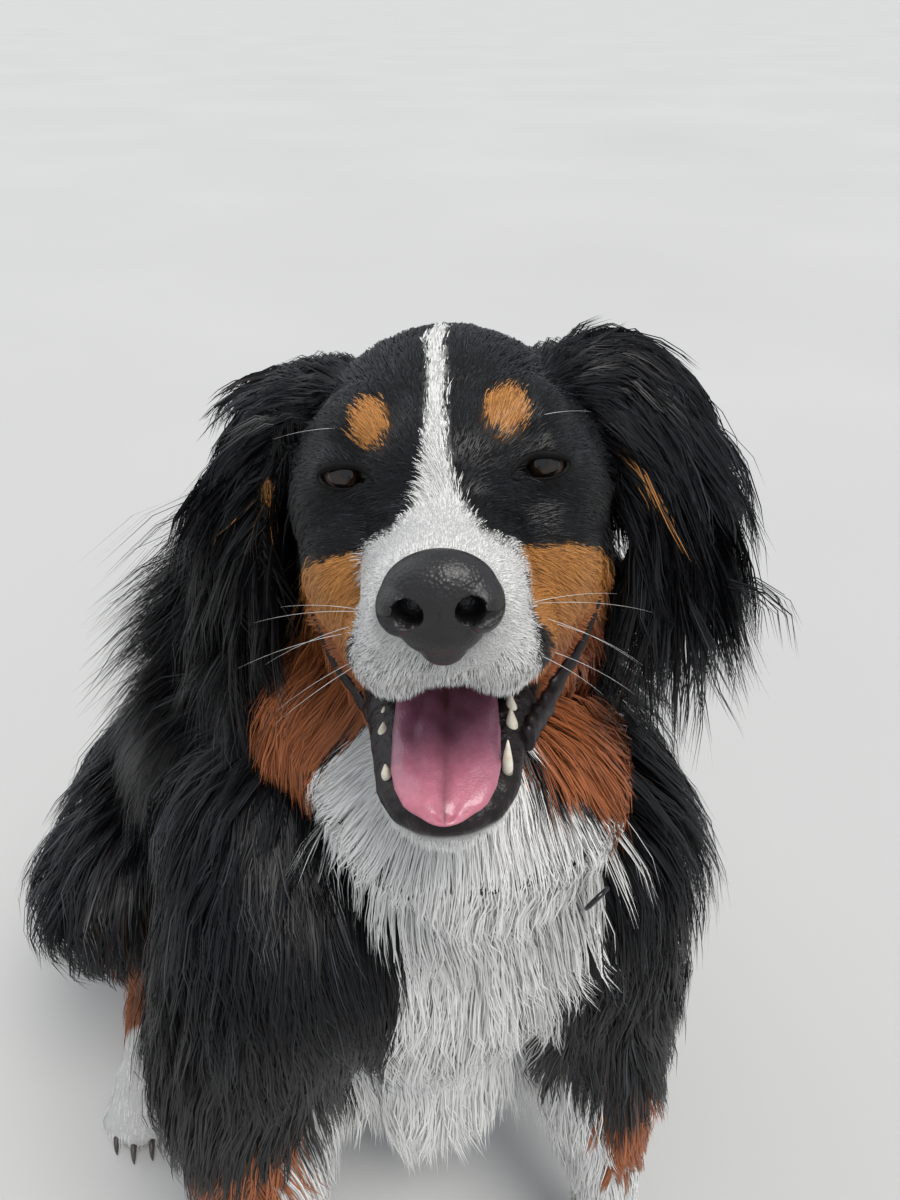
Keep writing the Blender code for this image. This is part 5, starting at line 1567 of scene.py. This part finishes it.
def make_lids(side, tree):
    """The dark rim of both lids, laid where the opening meets the skin; the upper rim is drawn thicker
    as painted shade under the brow.
    """
    s = SIDES[side]
    turn = Matrix.Rotation(s * EYE_TURN, 3, "Z")
    way = HEAD_TURN @ (turn @ Vector((0, 1, 0)))
    points = []
    sizes = []
    for k in range(LID_STEPS):
        angle = 2 * pi * k / LID_STEPS
        inner = max(0.0, -cos(angle)) ** 3
        outer = max(0.0, cos(angle)) ** 3
        wide = LID_SIZE[0] * (cos(angle) - inner * LID_CORNER + outer * LID_TAIL)
        high = LID_SIZE[2] * (1.10 * sin(angle) - inner * LID_DROP)
        start = HEAD_FRAME @ (lid_spot(s) + turn @ Vector((s * wide, 0, high))) - way * 0.03
        # The upper rim swells into a dark band, partly lid and partly painted shade under the brow.
        size = LID_WIRE * (1 + max(0.0, sin(angle)) ** 0.7 * UPPER_LID_SHADE)
        points.append(tree.ray_cast(start, way)[0] + way * (size * 0.3))
        sizes.append((size, size * 0.9))
    beside = zip(points[-1:] + points[:-1], points, points[1:] + points[:1])
    smooth = [(before + spot * 2 + after) / 4 for before, spot, after in beside]
    return smooth_object(tube(smooth, sizes, 12, way, closed=True), f"lids_{side}")


def make_tongue():
    """The tongue, hollow along its middle, with low waves and a pink tip."""
    rows = TONGUE[::-1]
    tip = rows[0, 0]
    ys = np.linspace(tip, rows[-1, 0], 60)
    ys[:8] = tip - 0.006 * (1 - np.linspace(0, 1, 8) ** 2) + np.linspace(0, 0.006, 8)
    z, wide, high = (interp(rows, ys, k) for k in (1, 2, 3))
    near = np.clip((ys - ys[0]) / 0.010, 0.02, 1) ** 0.5
    dense = np.stack([ys, z, wide * near, high * near], axis=1)
    item = profile(dense[::-1], 0.0, 64, JAW_SHIFT)
    spots = vertex_array(item.data)
    x, y, z = spots.T
    top = z > interp(dense, y)
    beside = np.clip((x - JAW_SHIFT) / np.maximum(interp(dense, y, 2), 1e-4), -1, 1)
    back = np.clip((y - 0.026) / 0.05, 0, 1)
    groove = TONGUE_GROOVE * np.exp(-(beside / 0.14) ** 2) * back
    cup = TONGUE_CUP * (1 - beside ** 2) * back
    waves = TONGUE_WAVE * np.sin(beside * 9 + y * 60) * np.sin(y * 300) * (1 - beside ** 4)
    folds = np.abs(np.sin(beside * 4.2 + 0.35 * np.sin(y * 120) + 0.6)) ** 10
    groove += TONGUE_FOLD * folds * np.clip((y - 0.045) / 0.02, 0, 1)
    # The pink tip and mauve body are the tongue's own colours; the darker colour along the groove and
    # the folds on top, and the darkest at the back deep in the mouth, are painted shade.
    tint = np.array((0.50, 0.155, 0.215))
    for colour, share in (
        ((0.30, 0.112, 0.170), np.clip((y - 0.030) / 0.032, 0, 1)),
        ((0.22, 0.07, 0.10), np.exp(-(beside / 0.12) ** 2) * top * 0.8),
        ((0.20, 0.07, 0.11), folds * top * np.clip((y - 0.045) / 0.02, 0, 0.6)),
        ((0.15, 0.03, 0.04), np.clip((y - 0.085) / 0.04, 0, 1)),
    ):
        tint = mixed(tint, np.array(colour), share)
    spots[:, 2] -= np.where(top, groove + cup - waves, 0)
    moved(item, spots)
    set_colours(item.data, tint)
    item.data.transform(HEAD_FRAME)
    return smooth_object(item, "tongue_flesh")


def tooth(root, way, length, radius):
    """A tooth that tapers along a slight bow."""
    way.normalize()
    base = root - way * TOOTH_ROOT
    tip = root + way * length
    points = []
    sizes = []
    for t in np.linspace(0, 1, 7):
        points.append(base.lerp(tip, t) - Vector((0, TOOTH_BOW * sin(pi * t), 0)))
        size = radius * (1 - 0.86 * max(0.0, t - 0.25) ** 1.3 / 0.75 ** 1.3)
        sizes.append((size, size * 1.1))
    return tube(points, sizes, 16, Vector((0, 1, 0)))


def make_teeth():
    """The teeth that the open mouth shows, and the smaller ones between them."""
    forms = []
    for side, s in SIDES.items():
        for shift, rows in ((0.0, UPPER_TEETH), (JAW_SHIFT, LOWER_TEETH)):
            for x, y, z, a, b, c, *sizes in rows:
                length, radius = mm(*sizes)
                root = at(s * x, y, z) + Vector((shift, 0, 0))
                forms.append(tooth(root, Vector((s * a, b, c)), length * TOOTH_SHOWN[side], radius))
    item = joined(forms)
    item.data.transform(HEAD_FRAME)
    return smooth_object(item, "teeth")


def make_claws():
    """Four short curved claws on each foot."""
    forms = []
    for kind in PAWS:
        for side in SIDES:
            ahead = paw_ahead(kind, side)
            for spot in toe_spots(kind, side):
                root = spot + ahead * (PAWS[kind]["toe"] * 0.95) + Vector((0, 0, 0.001))
                points = [root + ahead * out - Vector((0, 0, drop)) for out, drop in CLAW_PATH]
                forms.append(tube(points, CLAW_SIZES, 12))
    return smooth_object(joined(forms), "claws")


def make_ring():
    """The ring under the collar, finer than the solid one and in its place."""
    low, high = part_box("collar_ring")
    spot = (low + high) / 2 - SHIFT
    step = round(RING_ANGLE / (2 * pi) * COLLAR_STEPS) % COLLAR_STEPS
    turn = COLLAR_TURN @ Matrix.Rotation(2 * pi * step / COLLAR_STEPS + pi / 2, 3, "Z")
    points = []
    for k in range(RING_STEPS):
        angle = 2 * pi * k / RING_STEPS
        points.append(spot + turn @ Vector((RING_RADIUS * cos(angle), 0, RING_RADIUS * sin(angle))))
    wire = [(RING_WIRE, RING_WIRE)] * RING_STEPS
    return smooth_object(tube(points, wire, 14, turn @ Vector((0, 1, 0)), closed=True), "ring")


def collar_place(k, out, height):
    """A point at step k round the collar, a distance out and a height along its axis."""
    angle = 2 * pi * k / COLLAR_FINE
    return COLLAR_MIDDLE + COLLAR_TURN @ Vector((out * cos(angle), out * sin(angle), height))


def collar_reach(tree):
    """How far out the skin of the neck lies under the collar, all round."""
    reach = []
    for k in range(COLLAR_FINE):
        spots = []
        for height in (-COLLAR_HALF, 0, COLLAR_HALF):
            start = collar_place(k, 0, height)
            spots.append(tree.ray_cast(start, collar_place(k, 1, height) - start)[3])
        reach.append(max(spot for spot in spots if spot))
    for _ in range(6):
        beside = zip(reach[-1:] + reach[:-1], reach, reach[1:] + reach[:1])
        reach = [max(b, (a + b + c) / 3) for a, b, c in beside]
    return reach


def make_collar(reach):
    """A woven band with rounded edges, laid on the skin of the neck."""
    thick, half, edge = COLLAR_THICK, COLLAR_HALF, COLLAR_EDGE
    outline = [
        (edge, -half), (thick - edge, -half), (thick, -half + edge), (thick, half - edge),
        (thick - edge, half), (edge, half), (0, half - edge), (0, -half + edge),
    ]
    rings = []
    for k, inner in enumerate(reach):
        rings.append([collar_place(k, inner + COLLAR_CLEAR + out, high) for out, high in outline])
    return smooth_object(lofted(rings, closed=True), "collar_band")


def make_whiskers(tree):
    """Long bowed hairs on the muzzle and brows, thick at their roots."""
    draw = np.random.default_rng(SEED + 8)
    forms = []
    for s in SIDES.values():
        for x, y, z, a, b, c, length in WHISKERS:
            root = tree.find_nearest(HEAD_FRAME @ at(s * x, y, z))[0]
            way = HEAD_TURN @ Vector((s * a, b, c)).normalized()
            way = (way + Vector(draw.normal(0, 0.08, 3))).normalized()
            length *= draw.uniform(0.85, 1.15) / 1000
            points = []
            sizes = []
            for t in np.linspace(0, 1, WHISKER_POINTS):
                points.append(root + way * (length * t) + WHISKER_SAG * (length * t * t))
                sizes.append([WHISKER_WIRE * (1 - 0.8 * t)] * 2)
            forms.append(tube(points, sizes, 5))
    return smooth_object(joined(forms), "whiskers")


# The stage


def make_floor():
    floor = block((-300, -300, -0.02), (300, 300, -0.0002))
    floor.name = "floor"
    floor.data.materials.append(plain_finish("floor"))


def soft_sun(name, way, strength, spread, tint):
    """A broad distant light that shines along a direction."""
    data = bpy.data.lights.new(name, "SUN")
    data.energy = strength
    data.angle = radians(spread)
    data.color = tint
    linked(name, data).rotation_euler = Vector(way).to_track_quat("-Z", "Y").to_euler()


def make_lights():
    """Soft daylight from above and in front, with a cool sky all round."""
    world = bpy.data.worlds.new("sky")
    world.use_nodes = True
    sky = world.node_tree.nodes["Background"]
    sky.inputs["Color"].default_value = (0.88, 0.94, 1.0, 1.0)
    sky.inputs["Strength"].default_value = 0.72
    bpy.context.scene.world = world
    bpy.context.scene.view_settings.view_transform = "Standard"
    soft_sun("key", (-0.35, 0.55, -1.5), 2.5, 30, (1.0, 0.97, 0.93))
    soft_sun("rim", (0.8, -0.9, -0.9), 0.6, 50, (0.92, 0.96, 1.0))


def make_camera():
    data = bpy.data.cameras.new("camera")
    data.lens = LENS
    data.sensor_width = 36.0
    data.clip_start = 0.01
    item = linked("camera", data)
    turn = Matrix.Rotation(CAMERA_TURN, 4, "Z") @ Matrix.Rotation(pi / 2 + CAMERA_TILT, 4, "X")
    item.matrix_world = Matrix.Translation(CAMERA_SPOT + SHIFT) @ turn
    bpy.context.scene.camera = item


def paint_skin(skin):
    """Gives the skin the coat's markings, painted darker as the shade under the coat, and says where it
    is bare.
    """
    spots = vertex_array(skin.data)
    pale, warm = markings(spots, SKIN_BLEND)
    # Painted shade: the skin under the coat is darker than its hairs.
    tint = mixed(BLACK * 0.8, mixed(RUST, GOLD, goldness(to_head(spots))) * 0.8, warm)
    set_colours(skin.data, mixed(tint, WHITE * 0.85, pale))
    layer = skin.data.attributes.new("bare", "FLOAT", "POINT")
    layer.data.foreach_set("value", bare_share(spots).astype(np.float32))


def make_coat(skin, tree, sleeve):
    """The coat on the whole skin, region by region."""
    arrays = triangle_arrays(skin)
    a, b, c = (arrays["spots"][:, k] for k in range(3))
    areas = np.linalg.norm(np.cross(b - a, c - a), axis=1) / 2
    names = region_of(arrays["spots"].mean(axis=1))
    hair = coat_finish()
    for name in REGIONS:
        coat_region(name, arrays, areas, names, tree, hair, sleeve)


def build():
    make_camera()
    make_lights()
    make_floor()
    skin = make_skin()
    unwrap(skin)
    paint_skin(skin)
    tree = BVHTree.FromObject(skin, bpy.context.evaluated_depsgraph_get())
    sleeve = collar_reach(tree)
    make_coat(skin, tree, sleeve)
    rims = plain_finish("rims", specular=0.12)
    eye = eye_finish()
    for side in SIDES:
        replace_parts(placed(make_eye(side), eye), f"eye_{side}")
        placed(make_lids(side, tree), rims)
    placed(make_lips(tree), plain_finish("lips", specular=0.28))
    placed(skin, skin_finish())
    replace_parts(skin, *FLESH)
    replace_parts(placed(make_nose(), nose_finish()), "nose_pad")
    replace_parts(placed(make_tongue(), tongue_finish()), "tongue")
    placed(make_teeth(), plain_finish("ivory"))
    placed(make_claws(), plain_finish("horn", (1, 0.3, 1)))
    steel = plain_finish("steel", metallic=0.9)
    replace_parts(placed(make_ring(), steel), "collar_ring")
    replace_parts(placed(make_collar(sleeve), webbing_finish()), "collar")
    placed(make_whiskers(tree), plain_finish("bristle"))


build()
